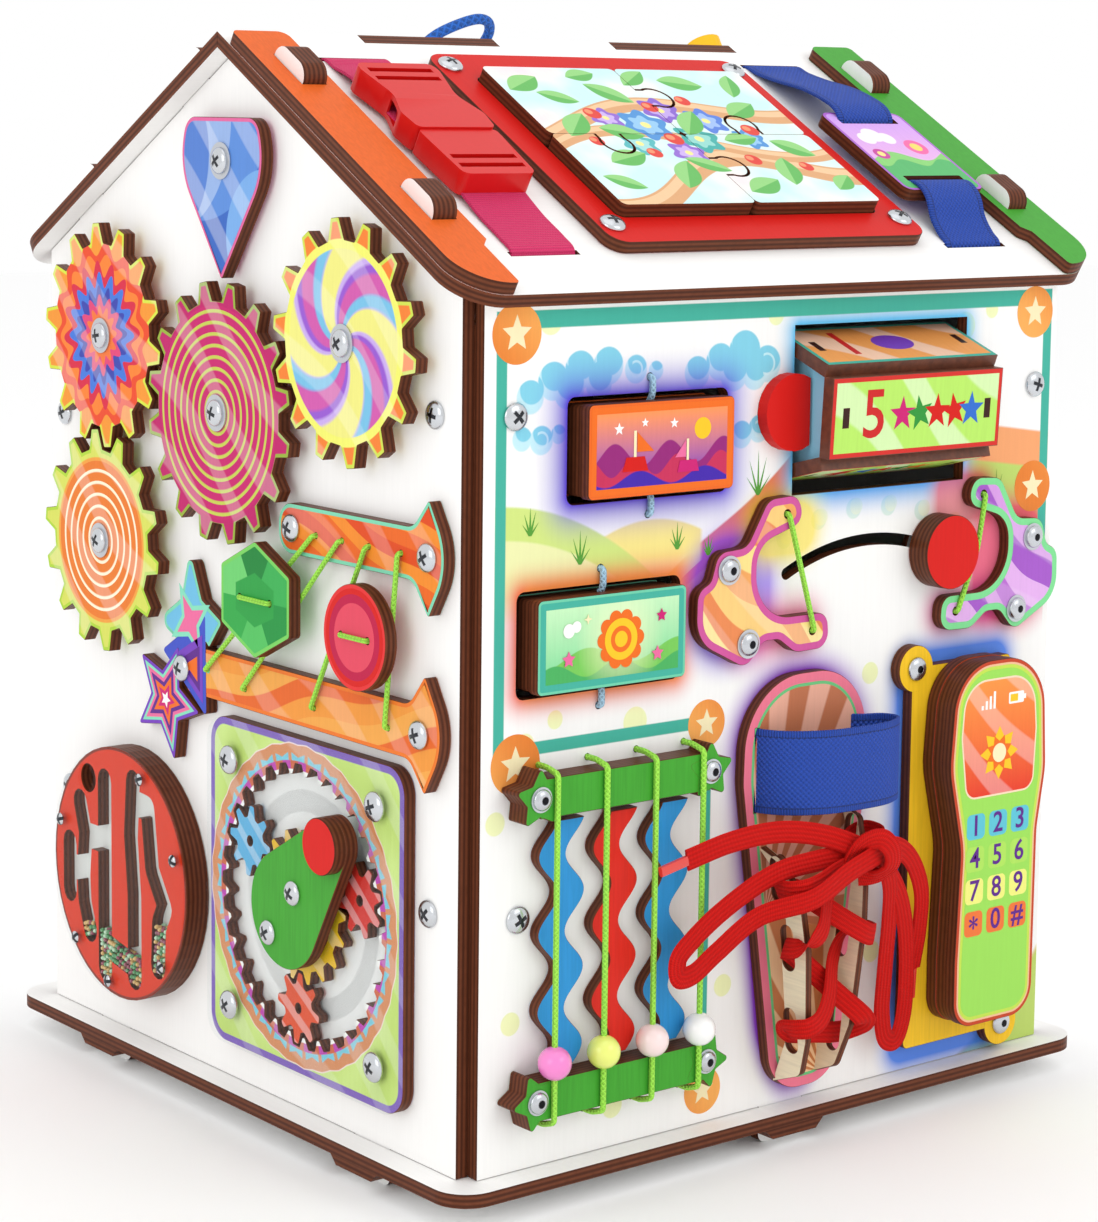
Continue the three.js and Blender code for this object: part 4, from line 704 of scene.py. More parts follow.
def woven(name, colour, pitch=1.5, depth=0.0004, rough=0.75):
    """Ribbed strap cloth, with its ribs across the strap and painted shade in the hollows between them."""
    look = Look(name, rough)
    along, over = look.surface()
    rib = (along * (TAU / pitch)).sin()
    thread = (over * (TAU / 0.9) + rib * 1.2).sin()
    weave = rib * 0.65 + thread * 0.35
    fuzz = look.noise(1800.0, 2.0)
    # Painted shade in the hollows between the ribs, with fuzz as random tone
    look.paint(look.shade(colour, (1.0 - weave) * 0.13 + fuzz * 0.12))
    look.shader.inputs["Sheen Weight"].default_value = 0.05
    look.bump(weave, 0.6, depth)
    return look


def ribbon(name, colour, rib=1.96, thread=0.8, depth=0.0004):
    """Flat woven lace: ribs along its length, crossed by fine threads, with painted shade in the hollows of
    the weave.
    """
    look = Look(name, 0.75)
    along, over = look.surface()
    look.shader.inputs["Specular IOR Level"].default_value = 0.15
    weave = (over * (TAU / rib)).sin() * 0.6 + (along * (TAU / thread) + over * 2.0).sin() * 0.4
    # Painted shade in the hollows of the weave, with fuzz as random tone
    look.paint(look.shade(colour, (1.0 - weave) * 0.14 + look.noise(1800.0, 2.0) * 0.12))
    look.bump(weave, 0.7, depth)
    return look


def basket(name, colour, low, high, pitch=2.4, selvedge=3.0, depth=0.0005):
    """Strap cloth in a basket weave between two woven edges, with painted shade in the hollows of the weave.
    """
    look = Look(name, 0.75)
    along, over = look.surface()
    checks = (along * (TAU / pitch)).sin() * (over * (TAU / pitch)).sin()
    rib = (along * (TAU / (pitch / 2))).sin()
    edge = ((over - (low + high) / 2).abs() - (high - low) / 2 + selvedge).inside(0.3)
    weave = checks * (1.0 - edge) + rib * edge
    line = (0.35 - ((over - (low + high) / 2).abs() - (high - low) / 2 + selvedge).abs()).inside(0.2)
    # Painted shade in the hollows of the weave, fuzz as random tone, and a darker woven line along each
    # selvedge
    look.paint(look.shade(colour, (1.0 - weave) * 0.16 + look.noise(1800.0, 2.0) * 0.12 + line * 0.35))
    look.bump(weave, 0.7, depth)
    return look


# Ready made looks of plain coloured plies and prints
green_ply = board("green_ply", GREEN, grain=0.16)
red_ply = board("red_ply", RED)
yellow_ply = board("yellow_ply", YELLOW, grain=0.14)
white_ply = board("white_ply", WHITE)
inks = {
    "orange": ink("ink_orange", ORANGE),
    "green": ink("ink_green", LEAF),
    "red": ink("ink_red", RED),
    "lime": ink("ink_lime", LIME),
    "yellow": ink("ink_yellow", YELLOW),
    "magenta": ink("ink_magenta", MAGENTA),
    "violet": ink("ink_violet", VIOLET),
    "teal": ink("ink_teal", TEAL),
    "mint": ink("ink_mint", MINT),
    "blue": ink("ink_blue", BLUE),
    "pink": ink("ink_pink", PINK),
    "cream": ink("ink_cream", CREAM),
    "paper": ink("ink_paper", PAPER),
    "dark": ink("ink_dark", rgb(60, 30, 26)),
    "plum": ink("ink_plum", rgb(96, 40, 140)),
}


def screw(toy, x, y, z, radius=6.0, rise=3.4, turn=0.5, look=None):
    """A dome headed screw whose drive is turned by an angle."""
    profile = [(radius * 0.97, z), (radius, z + rise * 0.16)]
    for step in range(1, 9):
        angle = math.pi / 2 * step / 9
        profile.append((radius * math.cos(angle), z + rise * (0.16 + 0.84 * math.sin(angle))))
    start = len(toy.maps)
    toy.turned(x, y, profile, look or steel, 36)
    cos, sin = math.cos(turn), math.sin(turn)
    toy.maps[start:] = [(a * cos - b * sin, a * sin + b * cos) for a, b in toy.maps[start:]]


# Patterns, drawn as sums over a side's millimetres
def radius_from(x, y, cx, cy):
    dx, dy = x - cx, y - cy
    return (dx * dx + dy * dy).root()


def box_distance(x, y, x0, x1, y0, y1, radius):
    """The distance outside a box with rounded corners, below 0 inside it."""
    dx = (x - (x0 + x1) / 2).abs() - ((x1 - x0) / 2 - radius)
    dy = (y - (y0 + y1) / 2).abs() - ((y1 - y0) / 2 - radius)
    over, above = dx.most(0.0), dy.most(0.0)
    return (over * over + above * above).root() + dx.most(dy).least(0.0) - radius


def painted_sheen_bands(look, x, y, face, share=0.16, period=34.0, lean=0.75):
    """Broad slanting bands a little lighter: painted reflections of the light on the glossy prints."""
    # Painted reflection: a band pattern that lifts the face toward white
    band = ((x * lean + y) * (TAU / period) + (x * 0.05).sin() * 1.3).sin()
    return look.mix((band - 0.35).inside(0.25) * share, face, (1.0, 1.0, 1.0, 1.0))


def curves(colours, period=11.0, lean=0.35, sway=4.0, length=60.0, share=0.18):
    """Flowing stripes of several colours, under slanting bands of painted reflection."""
    def pattern(look, x, y, z, colour):
        level = (y + x * lean + (x * (TAU / length)).sin() * sway) / period
        place = (level / len(colours)).part() * len(colours)
        face = colours[0]
        for index in range(1, len(colours)):
            face = look.mix((place - index).inside(0.06), face, colours[index])
        # Slanting bands of painted reflection over the stripes
        return painted_sheen_bands(look, x, y, face, share)
    return pattern


# Walls, base and roof keep their shapes
STRONG = {"rough": 0.5, "grain": 0.03, "coat": 0.05}


def dress(node, look):
    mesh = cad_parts[node].data
    mesh.materials.clear()
    mesh.materials.append(look.material)
    for polygon in mesh.polygons:
        polygon.material_index = 0


def halo(look, x, y, face, box, radius, reach, share, hue):
    distance = box_distance(x, y, *box, radius)
    fade = (1.0 - distance / reach).math("ADD", 0.0, clamp=True)
    return look.mix(fade * fade * share, face, hue)


CLOUDS = [
    [(30, 325, 7), (42, 331, 8), (56, 335, 8), (71, 336, 8), (86, 334, 6), (97, 333, 4), (50, 327, 8),
     (66, 329, 7)],
    [(120, 331, 7), (133, 335, 8), (147, 339, 9), (160, 333, 8), (141, 330, 8), (153, 329, 7)],
    [(26, 308, 5), (36, 307, 6), (45, 309, 4)],
    [(146, 303, 6), (156, 305, 6), (165, 302, 4)],
]
DOTS = [(40.3, 356, 6), (282.5, 345, 6.5), (335.5, 236, 6), (88.4, 184, 6.5), (22.9, 64, 5), (78.7, 18, 5.5),
        (29, 181, 5), (227, 190, 5), (44.9, 190, 4), (300, 352, 4), (14, 150, 5), (141, 60, 5), (232, 60, 5),
        (322, 60, 4), (240, 214, 4), (190, 340, 4), (165, 354, 4.5), (300, 190, 4)]
ARC_CENTRE, ARC_RADIUS = (224, 134), 117.2
AXLE_PLATE = (172, 311.7, 17)


def front_print(look, x, y, z, colour):
    face = colour
    arc = radius_from(x, y, *ARC_CENTRE)
    fade = ((y - 232.0) / 22.0).math("ADD", 0.0, clamp=True)
    slope = (x - 100.0) * 0.7 + 240.0 + (x * 0.07).sin() * 2.0
    under = ((y - slope + 30.0) / 12.0).math("ADD", 0.0,
                                             clamp=True) * (181.0 - x).inside(4.0) * (x - 92.0).inside(8.0)
    face = look.mix((slope - y).inside(1.2) * under, face, rgb(226, 120, 84))
    face = look.mix((slope - 13.0 - y).inside(1.2) * under * 0.8, face, rgb(242, 168, 118))
    hump = (x - 96.0) * (x - 96.0) * -0.008 + 270.0
    face = look.mix((hump - y).inside(1.2) * (slope - 8.0 - y).below(0.0) * (124.0 - x).inside(2.0) * fade,
                    face,
                    rgb(246, 228, 140))
    hill = (x - 12.0) * (x - 12.0) * -0.0048 + 281.0
    face = look.mix((hill - y).inside(1.2) * (108.0 - x).inside(3.0) * fade, face, rgb(208, 228, 130))
    face = look.mix((hill - 14.0 - y).inside(1.2) * (108.0 - x).inside(3.0) * fade, face, rgb(236, 238, 176))
    bank = (x - 290.0) * -0.14 + 300.0
    right = (x - 287.0).inside(3.0) * (arc - 150.0).inside(3.0)
    face = look.mix((bank - y).inside(1.2) * right, face, rgb(244, 166, 112))
    face = look.mix((bank - 17.0 - y).inside(1.2) * right, face, rgb(190, 214, 110))
    for cloud in CLOUDS:
        body, raised = None, None
        for cx, cy, radius in cloud:
            each = radius - radius_from(x, y, cx, cy)
            higher = radius - 0.8 - radius_from(x, y, cx + 0.8, cy + 3.2)
            body = each if body is None else body.most(each)
            raised = higher if raised is None else raised.most(higher)
        face = look.mix(body.inside(0.7) * 0.9, face, rgb(190, 234, 244))
        face = look.mix(body.inside(0.7) * raised.inside(0.7), face, rgb(132, 208, 230))
        cx, cy, radius = cloud[len(cloud) // 2]
        curl = (0.5 - (radius_from(x, y, cx, cy) - radius * 0.55).abs()).inside(0.4) * x.above(cx - 2.0)
        face = look.mix(curl * body.inside(0.7) * 0.8, face, rgb(206, 240, 246))
    for cx, cy, radius in DOTS:
        face = look.mix((radius - radius_from(x, y, cx, cy)).inside(0.5) * 0.8, face, rgb(240, 246, 172))
    face = look.mix((ARC_RADIUS + 24.0 - arc).inside(2.0) * y.above(205.0), face, colour)
    for step in range(6):
        angle = math.radians(66.0 + 9.4 * step)
        cx = ARC_CENTRE[0] + (ARC_RADIUS + 15) * math.cos(angle)
        cy = ARC_CENTRE[1] + (ARC_RADIUS + 15) * math.sin(angle)
        face = look.mix((4.6 - radius_from(x, y, cx, cy)).inside(0.5) * 0.55, face, rgb(196, 230, 206))
        face = look.mix((3.8 - radius_from(x, y, cx + 1.6, cy + 1.0)).inside(0.5) * 0.8, face,
                        rgb(240, 246, 214))
    for box, radius, reach, share, hue in (
            ((49, 138, 279, 324), 4, 21, 0.95, rgb(86, 56, 214)),
            ((24, 113, 200, 246), 4, 14, 0.85, rgb(240, 70, 60)),
            ((28, 113, 200, 246), 4, 9, 0.5, rgb(250, 160, 40)),
            ((176, 284, 274, 350), 4, 13, 0.95, rgb(84, 190, 240)),
            ((200, 262, 274, 300), 4, 19, 0.5, rgb(90, 130, 240)),
            ((121, 164, 206, 258), 18, 14, 0.7, rgb(120, 60, 230)),
            ((154, 190, 249, 271), 10, 14, 0.8, rgb(250, 226, 70)),
            ((144, 190, 208, 223), 7, 16, 0.7, rgb(245, 90, 150)),
            ((293, 339, 207, 259), 18, 16, 0.85, rgb(240, 50, 110)),
            ((266, 305, 207, 221), 7, 14, 0.7, rgb(225, 60, 150)),
            ((268, 300, 256, 276), 7, 12, 0.7, rgb(236, 60, 90)),
            ((245, 316, 4, 196), 8, 13, 0.9, rgb(36, 120, 235))):
        face = halo(look, x, y, face, box, radius, reach, share, hue)
    half = (y * (17.0 / 152.0) + 19.0).most(20.0).least(37.0)
    narrowed = (x - 184.0) * 37.0 / half + 184.0
    face = halo(look, narrowed, y, face, (147, 221, 8, 196), 34, 15, 0.95, rgb(140, 34, 205))
    outer = (0.0 - box_distance(x, y, 12.5, 340.5, 176.5, 360.4, 0.0)).inside(0.5)
    inner = (0.0 - box_distance(x, y, 18.0, 335.0, 182.0, 353.0, 0.0)).inside(0.5)
    kept = y.above(230.0).most(x.below(132.0))
    beyond = (0.0 - box_distance(x, y, 0.0, 350.0, 182.0, 600.0, 0.0)).above(0.0) * outer.below(0.5)
    face = look.mix(beyond, face, colour)
    upright = (0.0 - box_distance(x, y, 126.5, 132.0, 24.0, 180.0, 0.0)).inside(0.5)
    teal = ((outer - inner) * kept).most(upright)
    return look.mix(teal, face, TEAL)


def axle_plate_print(look, x, y, z, colour):
    share = (AXLE_PLATE[2] + 0.5 - radius_from(x, y, AXLE_PLATE[0], AXLE_PLATE[1])).inside(0.3) * z.above(0.2)
    return look.mix(share, colour, RED)


def knob_print(look, x, y, z, colour):
    share = (10.0 - radius_from(x, y, 60.0, 184.0)).inside(0.3) * z.above(6.2)
    return look.mix(share, colour, rgb(244, 190, 40))


dress("front_wall", board("front_wall_print", WHITE, front_print, side=FRONT, over=axle_plate_print,
                          **STRONG))
dress("back_wall", board("back_wall_ply", WHITE, side=BACK, **STRONG))
dress("left_gable_wall", board("left_gable_ply", WHITE, side=GABLE, **STRONG))
dress("right_gable_wall", board("right_gable_ply", WHITE, side=RIGHT, **STRONG))
dress("base_panel", board("base_ply", WHITE, side=LEVEL, **STRONG))
dress("front_roof_panel", board("front_roof_ply", WHITE, side=ROOF, along="x", **STRONG))
dress("back_roof_panel", board("back_roof_ply", WHITE, side=BACK_ROOF, along="x", over=knob_print, **STRONG))
dress("orange_verge_strip", board("orange_verge_ply", rgb(232, 104, 36), side=ROOF, grain=0.14))
dress("green_verge_strip", board("green_verge_ply", GREEN, side=ROOF, grain=0.14))


# Gears on the gable
class Gear:
    def __init__(self, name, x, y, teeth, rows):
        self.name, self.x, self.y, self.teeth, self.rows = name, x, y, teeth, rows
        self.phase = 0.0


ROWS16 = [(49.6, 12.0), (58.5, 6.4)]
ROWS14 = [(43.2, 12.0), (52.5, 6.0)]
centre_gear = Gear("gear_centre", 0.0, 306.0, 16, ROWS16)
upper_left_gear = Gear("gear_upper_left", -99.9, 333.7, 14, ROWS14)
right_gear = Gear("gear_right", 97.2, 343.5, 14, ROWS14)
lower_left_gear = Gear("gear_lower_left", -101.8, 237.0, 14, ROWS14)


def mesh_phase(driver, gear):
    """The turn at which a gear's gap meets its driver's tooth."""
    towards = math.atan2(gear.y - driver.y, gear.x - driver.x)
    turn = (towards - driver.phase) * driver.teeth
    return towards + math.pi - (math.pi - turn) / gear.teeth


centre_gear.phase = math.pi / 2 + math.pi / 16
upper_left_gear.phase = mesh_phase(centre_gear, upper_left_gear)
right_gear.phase = mesh_phase(centre_gear, right_gear)
lower_left_gear.phase = mesh_phase(upper_left_gear, lower_left_gear)


def inside_teeth(x, y, gear, inset):
    """1 inside the gear's outline moved in by the inset."""
    (root, root_breadth), (tip, tip_breadth) = gear.rows
    dx, dy = x - gear.x, y - gear.y
    radius = (dx * dx + dy * dy).root()
    pitch = TAU / gear.teeth
    offset = (((dy.angle(dx) - gear.phase) / pitch + 100.5).part() - 0.5).abs() * radius * pitch
    half = (radius - root) * ((tip_breadth - root_breadth) / 2 / (tip - root)) + root_breadth / 2
    tooth = (half - inset - offset).least(tip - inset - radius)
    return tooth.most(root - inset - radius).inside(0.3)


def gear_pattern(gear, rim, tooth_hue, body):
    def pattern(look, x, y, z, colour):
        dx, dy = x - gear.x, y - gear.y
        radius = (dx * dx + dy * dy).root()
        face = look.mix(inside_teeth(x, y, gear, 1.9), rim, tooth_hue)
        face = body(look, radius, dy.angle(dx), face)
        # Slanting bands of painted reflection over the printed gear face
        return painted_sheen_bands(look, x, y, face, 0.14)
    return pattern


def ringed(ground, rings, spacing, share, reach, border):
    def body(look, radius, angle, face):
        edge = (reach - radius).inside(0.3)
        ring = ((radius / spacing).part() - (1 - share)).inside(0.1)
        disc = look.mix(ring, ground, rings)
        face = look.mix((reach + 1.6 - radius).inside(0.3), face, border)
        return look.mix(edge, face, disc)
    return body


def burst(look, radius, angle, face):
    for reach, swing, count, shift, hue in (
            (40.5, 3.4, 14, 0.0, rgb(232, 76, 40)), (35.5, 2.6, 14, 0.4, rgb(245, 130, 50)),
            (31.0, 3.8, 16, 0.0, rgb(214, 40, 70)), (26.0, 3.6, 16, 0.6, rgb(70, 120, 215)),
            (20.5, 2.8, 16, 0.0, rgb(60, 70, 170)), (16.5, 2.6, 12, 0.5, rgb(222, 70, 120)),
            (12.0, 2.0, 12, 0.0, rgb(240, 120, 60))):
        limit = (angle * float(count) + shift).sin() * swing + reach
        face = look.mix((limit - radius).inside(0.4), face, hue)
    return face


def swirl(look, radius, angle, face):
    arms = (angle * 4.0 + radius * 0.13).sin()
    disc = look.mix((arms + 0.35).inside(0.25), rgb(236, 232, 130), rgb(198, 170, 232))
    disc = look.mix((arms - 0.15).inside(0.25), disc, rgb(150, 90, 205))
    disc = look.mix((arms - 0.72).inside(0.2), disc, rgb(206, 90, 170))
    fine = (angle * 4.0 + radius * 0.13 + 1.3).sin()
    disc = look.mix((fine - 0.86).inside(0.15), disc, rgb(120, 190, 225))
    face = look.mix((43.5 - radius).inside(0.4), face, rgb(238, 238, 110))
    return look.mix((39.5 - radius).inside(0.4), face, disc)


DARK_LIME = rgb(150, 176, 60)
gear_bodies = {
    "gear_centre": (centre_gear, DARK_LIME, rgb(190, 30, 104),
                    ringed(rgb(198, 34, 108), rgb(196, 206, 84), 5.1, 0.3, 47.5, rgb(190, 30, 104))),
    "gear_upper_left": (upper_left_gear, rgb(214, 226, 70), rgb(240, 150, 50), burst),
    "gear_right": (right_gear, rgb(206, 220, 80), rgb(240, 130, 52), swirl),
    "gear_lower_left": (lower_left_gear, rgb(176, 212, 62), rgb(214, 220, 96),
                        ringed(rgb(232, 124, 44), rgb(252, 240, 210), 5.6, 0.26, 37.5, rgb(238, 160, 64))),
}


def axle(toy, x, y, back, face, turn):
    """The axle screw of a gear: its nut inside the wall, shank, spacer and dome head."""
    toy.turned(x, y, [(8, -9.3), (8, -6.3)], bright, 6)
    toy.turned(x, y, [(2, -6.3), (2, face)], bright, 16)
    toy.turned(x, y, [(7, 0.3), (7, back)], white_ply, 40)
    toy.turned(x, y, [(8.2, face), (8.2, face + 0.8)], bright, 44)
    screw(toy, x, y, face + 0.6, 6.0, 3.0, turn)


for number, (name, (gear, rim, hue, body)) in enumerate(gear_bodies.items()):
    paint = board(name + "_print", hue, gear_pattern(gear, rim, hue, body))
    toy = Toy(name + "_wheel", GABLE, name, (name,))
    toy.plate(toothed(gear.x, gear.y, gear.teeth, gear.phase, gear.rows), 5, 11, paint)
    axle(toy, gear.x, gear.y, 5, 11, 0.3 + 1.1 * number)
    toy.build()


# The pick shaped pointer
POINTER = [(0, 364.6, 1.2), (35.5, 414, 30), (28.5, 436, 9), (-28.5, 436, 9), (-35.5, 414, 30)]


def pointer_print(look, x, y, z, colour):
    face = rgb(58, 104, 190)
    for cx, cy, radius, hue in ((-20, 452, 62, rgb(92, 140, 214)), (-44, 436, 52, rgb(150, 178, 226)),
                                (-52, 420, 42, rgb(86, 128, 206)), (34, 384, 30, rgb(120, 170, 228)),
                                (40, 376, 24, rgb(70, 120, 200))):
        face = look.mix((radius - radius_from(x, y, cx, cy)).inside(0.4), face, hue)
    # Slanting bands of painted reflection over the pick's print
    return painted_sheen_bands(look, x, y, face, 0.2)


outline = rounded(POINTER)
toy = Toy("pointer_pick", GABLE, "pointer", ("pointer",))
toy.plate(outline, 2.5, 8.5, board("pointer_border", rgb(226, 104, 158)))
toy.inlay(shrunk(outline, 1.8), 8.5, board("pointer_print", BLUE, pointer_print, edges=False))
axle(toy, 0, 417, 2.5, 8.5, 0.9)
toy.build()

# Lacing rails
UPPER_RAIL = [(42, 249, 9.5), (141, 249, 9), (152, 234.5, 1.2), (167, 259.4, 26), (152, 283.5, 1.2),
              (141, 271, 9), (42, 271, 9.5)]
LOWER_RAIL = [(-34, 175, 4), (139, 174, 9), (150, 160.5, 1.2), (165, 185.6, 26), (150, 210.5, 1.2),
              (139, 197, 9), (-34, 197, 4)]
UPPER_HOLES = [(70.8, 259.2), (90.3, 259.2), (110, 259.2), (132.9, 259.2)]
LOWER_HOLES = [(-15.5, 187.7), (15.2, 183.8), (69.6, 184.1), (124.4, 184.6)]
FOUR_POINTED = [(-14, 198.5, 2), (-3.5, 211, 2), (-20.5, 219, 1.5), (-30.8, 241.5, 3), (-38, 217.5, 1.5),
                (-59, 205, 5), (-40, 197, 2)]
STAR_LEAN = math.radians(68)


def holes_at(places, radius, count=28):
    return [circle(x, y, radius, count) for x, y in places]


mint_ply = board("mint_ply", rgb(128, 214, 178))
orange_rim = board("orange_rim", rgb(236, 122, 44))
upper_stripes = board("upper_rail_print", ORANGE,
                      curves([rgb(240, 140, 44), rgb(222, 76, 26), rgb(232, 104, 34)], 6.5, 0.32, 3, 90,
                             0.1), edges=False)
lower_stripes = board("lower_rail_print", YELLOW,
                      curves([rgb(238, 152, 62), rgb(228, 104, 40), rgb(240, 166, 76)], 9.0, -0.22, 3, 90,
                             0.1),
                      edges=False)
outline = rounded(UPPER_RAIL)
toy = Toy("upper_rail", GABLE, "house", ("upper_lace_rail",))
toy.plate(outline, 0.3, 6, mint_ply, holes_at(UPPER_HOLES, 1.4))
toy.inlay(shrunk(outline, 1.9), 6, upper_stripes, holes_at(UPPER_HOLES, 1.5))
for x, y, turn in ((52.4, 260.3, 0.4), (151.6, 259.6, 1.0)):
    screw(toy, x, y, 6.05, 6.2, 3.3, turn)
toy.build()

outline = rounded(LOWER_RAIL)
toy = Toy("lower_rail", GABLE, "house", ("lower_lace_rail",))
toy.plate(outline, 0.3, 6, orange_rim, holes_at(LOWER_HOLES, 1.4))
toy.inlay(shrunk(outline, 1.9), 6, lower_stripes, holes_at(LOWER_HOLES, 1.5))
outline = rounded(FOUR_POINTED)
toy.plate(outline, 0.3, 6.1, mint_ply, holes_at(LOWER_HOLES[:1], 1.4))
toy.inlay(shrunk(outline, 2.0), 6.1, ink("ink_star_sky", rgb(112, 190, 226)))
toy.inlay(star(-30, 208, 4, 19, 7.6, 2.1), 6.15, inks["mint"])
toy.inlay(star(-30, 208, 4, 13, 5.2, 2.1), 6.2, inks["pink"])
triangle = rounded([(-54.5, 191.5, 1.5), (-16.6, 165.5, 1.5), (-17.4, 213.5, 1.5)])
toy.plate(triangle, 0.3, 6.18, board("triangle_ply", rgb(66, 84, 196)))
for corners, level, name in (([(-46, 189.5), (-19.5, 171.5), (-20, 203)], 6.2, "violet"),
                             ([(-40, 188.6), (-22, 176.5), (-22.3, 197.5)], 6.24, "plum"),
                             ([(-34, 187.6), (-24, 181.0), (-24.2, 192.5)], 6.28, "orange")):
    toy.inlay(corners, level, inks[name])
toy.plate(star(-51, 168.6, 5, 29, 13.5, STAR_LEAN, 1.0), 0.3, 6.3, board("star_ply", VIOLET))
for size, hue in ((0.84, "mint"), (0.72, "pink"), (0.58, "plum"), (0.42, "orange"), (0.27, "magenta"),
                  (0.14, "paper")):
    toy.inlay(star(-51, 168.6, 5, 29 * size, 13.5 * size, STAR_LEAN), 6.3 + (0.9 - size) * 0.3, inks[hue])
for x, y, turn in ((-36.8, 185.3, 0.3), (146.9, 185.5, 1.2)):
    screw(toy, x, y, 6.3, 6.2, 3.3, turn)
toy.build()

# Sliding buttons and the lace that ties them to the rails
HEX = (37.5, 227.6)
hexagon = rounded([(HEX[0] - 27, HEX[1] - 13, 2), (HEX[0], HEX[1] - 25.8, 3), (HEX[0] + 27, HEX[1] - 13, 2),
                   (HEX[0] + 27, HEX[1] + 13, 2), (HEX[0], HEX[1] + 25.8, 3), (HEX[0] - 27, HEX[1] + 13, 2)])
hex_holes = holes_at([(HEX[0] - 11.8, HEX[1]), (HEX[0] + 11.8, HEX[1])], 1.7)


def facets(look, x, y, z, colour):
    dx, dy = x - HEX[0], y - HEX[1]
    turn = dy.angle(dx)
    face = rgb(52, 166, 74)
    lights = [rgb(84, 190, 96), rgb(36, 146, 66), rgb(60, 172, 84), rgb(30, 132, 58), rgb(110, 204, 112)]
    for index, hue in enumerate(lights):
        face = look.mix((turn - (-2.1 + index * 1.05)).inside(0.02), face, hue)
    middle = (dx.abs() / 15.0).most(dy.abs() / 12.0 + dx.abs() / 30.0)
    return look.mix((1.0 - middle).inside(0.04), face, rgb(46, 158, 70))


toy = Toy("hexagon_disc", GABLE, "hexagon_button", ("hexagon_button",))
toy.plate(hexagon, 9.5, 15.5, board("hexagon_rim", rgb(120, 206, 96)), hex_holes)
toy.inlay(shrunk(hexagon, 2.0), 15.5, board("hexagon_print", GREEN, facets, edges=False), hex_holes)
toy.build()

ROUND = (113, 222)
round_holes = holes_at([(ROUND[0] - 9.7, ROUND[1]), (ROUND[0] + 9.7, ROUND[1])], 1.7)
toy = Toy("round_disc", GABLE, "round_button", ("round_button",))
toy.plate(circle(*ROUND, 22.5, 96), 9.5, 15.5, board("button_rim", rgb(226, 52, 52)), round_holes)
toy.inlay(circle(*ROUND, 20.6), 15.5, inks["red"], [circle(*ROUND, 18.2)])
toy.inlay(circle(*ROUND, 18.2), 15.5, ink("ink_crimson", rgb(190, 22, 70)), [circle(*ROUND, 14.5)])
toy.inlay(circle(*ROUND, 14.5), 15.5, ink("ink_rose", rgb(226, 74, 96)), round_holes)
toy.build()

lime_cord = braid("lime_cord", rgb(176, 255, 84), shade=0.08)
LACE_OUT, LACE_IN = 7.9, -8.0
lace_route = []
for top, low, step in ((0, 0, "down"), (1, 1, "up"), (2, 2, "down"), (3, 3, "up")):
    ends = [UPPER_HOLES[top], LOWER_HOLES[low]]
    if step == "up":
        ends = ends[::-1]
    lace_route += [(*ends[0], LACE_IN), (*ends[0], LACE_OUT), (*ends[1], LACE_OUT), (*ends[1], LACE_IN)]
toy = Toy("rail_lace", GABLE, "house", ("lacing_cord",))
toy.cord(bent(lace_route, 1.6, 4), 1.15, lime_cord)
for x, y, z in (lace_route[0], lace_route[-1]):
    toy.ball(x, y, z - 1.4, 2.6, lime_cord, 16)
for (x, y), reach, way in ((HEX, 11.8, "hexagon"), (ROUND, 9.7, "round")):
    toy_lace = Toy(way + "_button_lace", GABLE, way + "_button")
    loop = [(x - reach, y, 9.6), (x - reach, y, 16.6), (x + reach, y, 16.6), (x + reach, y, 9.6)]
    toy_lace.cord(bent(loop, 1.6, 4), 1.1, lime_cord)
    toy_lace.build()
toy.build()

# The maze disc keeps its shape; it gets its window, screws and glass beads
MAZE = (-83.6, 80.4)


def maze_print(look, x, y, z, colour):
    radius = radius_from(x, y, *MAZE)
    rim = look.mix((58.6 - radius).inside(0.3), rgb(132, 46, 28), rgb(226, 54, 14))
    return look.mix(z.above(12.0), rgb(238, 238, 234), rim)


dress("maze_disc", board("maze_ply", RED, maze_print, side=GABLE))
finger = circle(MAZE[0] - 28, MAZE[1] + 41, 7, 40)
toy = Toy("maze_window", GABLE, "maze_disc")
toy.plate(circle(*MAZE, 59.6, 120), 12.8, 14.6, clear, [finger])
for angle in (18, 66, 162, 226, 262, 318):
    lean = math.radians(angle)
    screw(toy, MAZE[0] + 54 * math.cos(lean), MAZE[1] + 54 * math.sin(lean), 14.6, 3.0, 1.6, lean)
toy.build()
glass = [plain("glass_" + name, hue, 0.08, coat=0.6) for name, hue in
         (("green", rgb(84, 156, 96)), ("mint", rgb(190, 226, 190)), ("amber", rgb(222, 178, 104)),
          ("plum", rgb(150, 62, 84)))]
toy = Toy("maze_beads", GABLE, "maze_disc")
PILES = [((-28, -35), (-30, -29)), ((-13, -52), (-13, -30)), ((-11, -39), (11, -43)), ((14, -50), (14, -38)),
         ((35, -40), (36.5, -19))]
draw = random.Random(5)
for (x0, y0), (x1, y1) in PILES:
    reach = math.dist((x0, y0), (x1, y1))
    ahead, aside = ((x1 - x0) / reach, (y1 - y0) / reach), (-(y1 - y0) / reach, (x1 - x0) / reach)
    for row in range(int(reach / 2.3) + 1):
        for lane in (-1.5, -0.5, 0.5, 1.5):
            for height in (7.9, 9.8, 11.6):
                along = row * 2.3 + draw.uniform(-0.5, 0.5)
                over = lane * 2.6 + draw.uniform(-0.4, 0.4)
                place = (MAZE[0] + x0 + ahead[0] * along + aside[0] * over,
                         MAZE[1] + y0 + ahead[1] * along + aside[1] * over)
                toy.ball(*place, height + draw.uniform(-0.1, 0.1), 1.2, draw.choice(glass), 10)
toy.build()

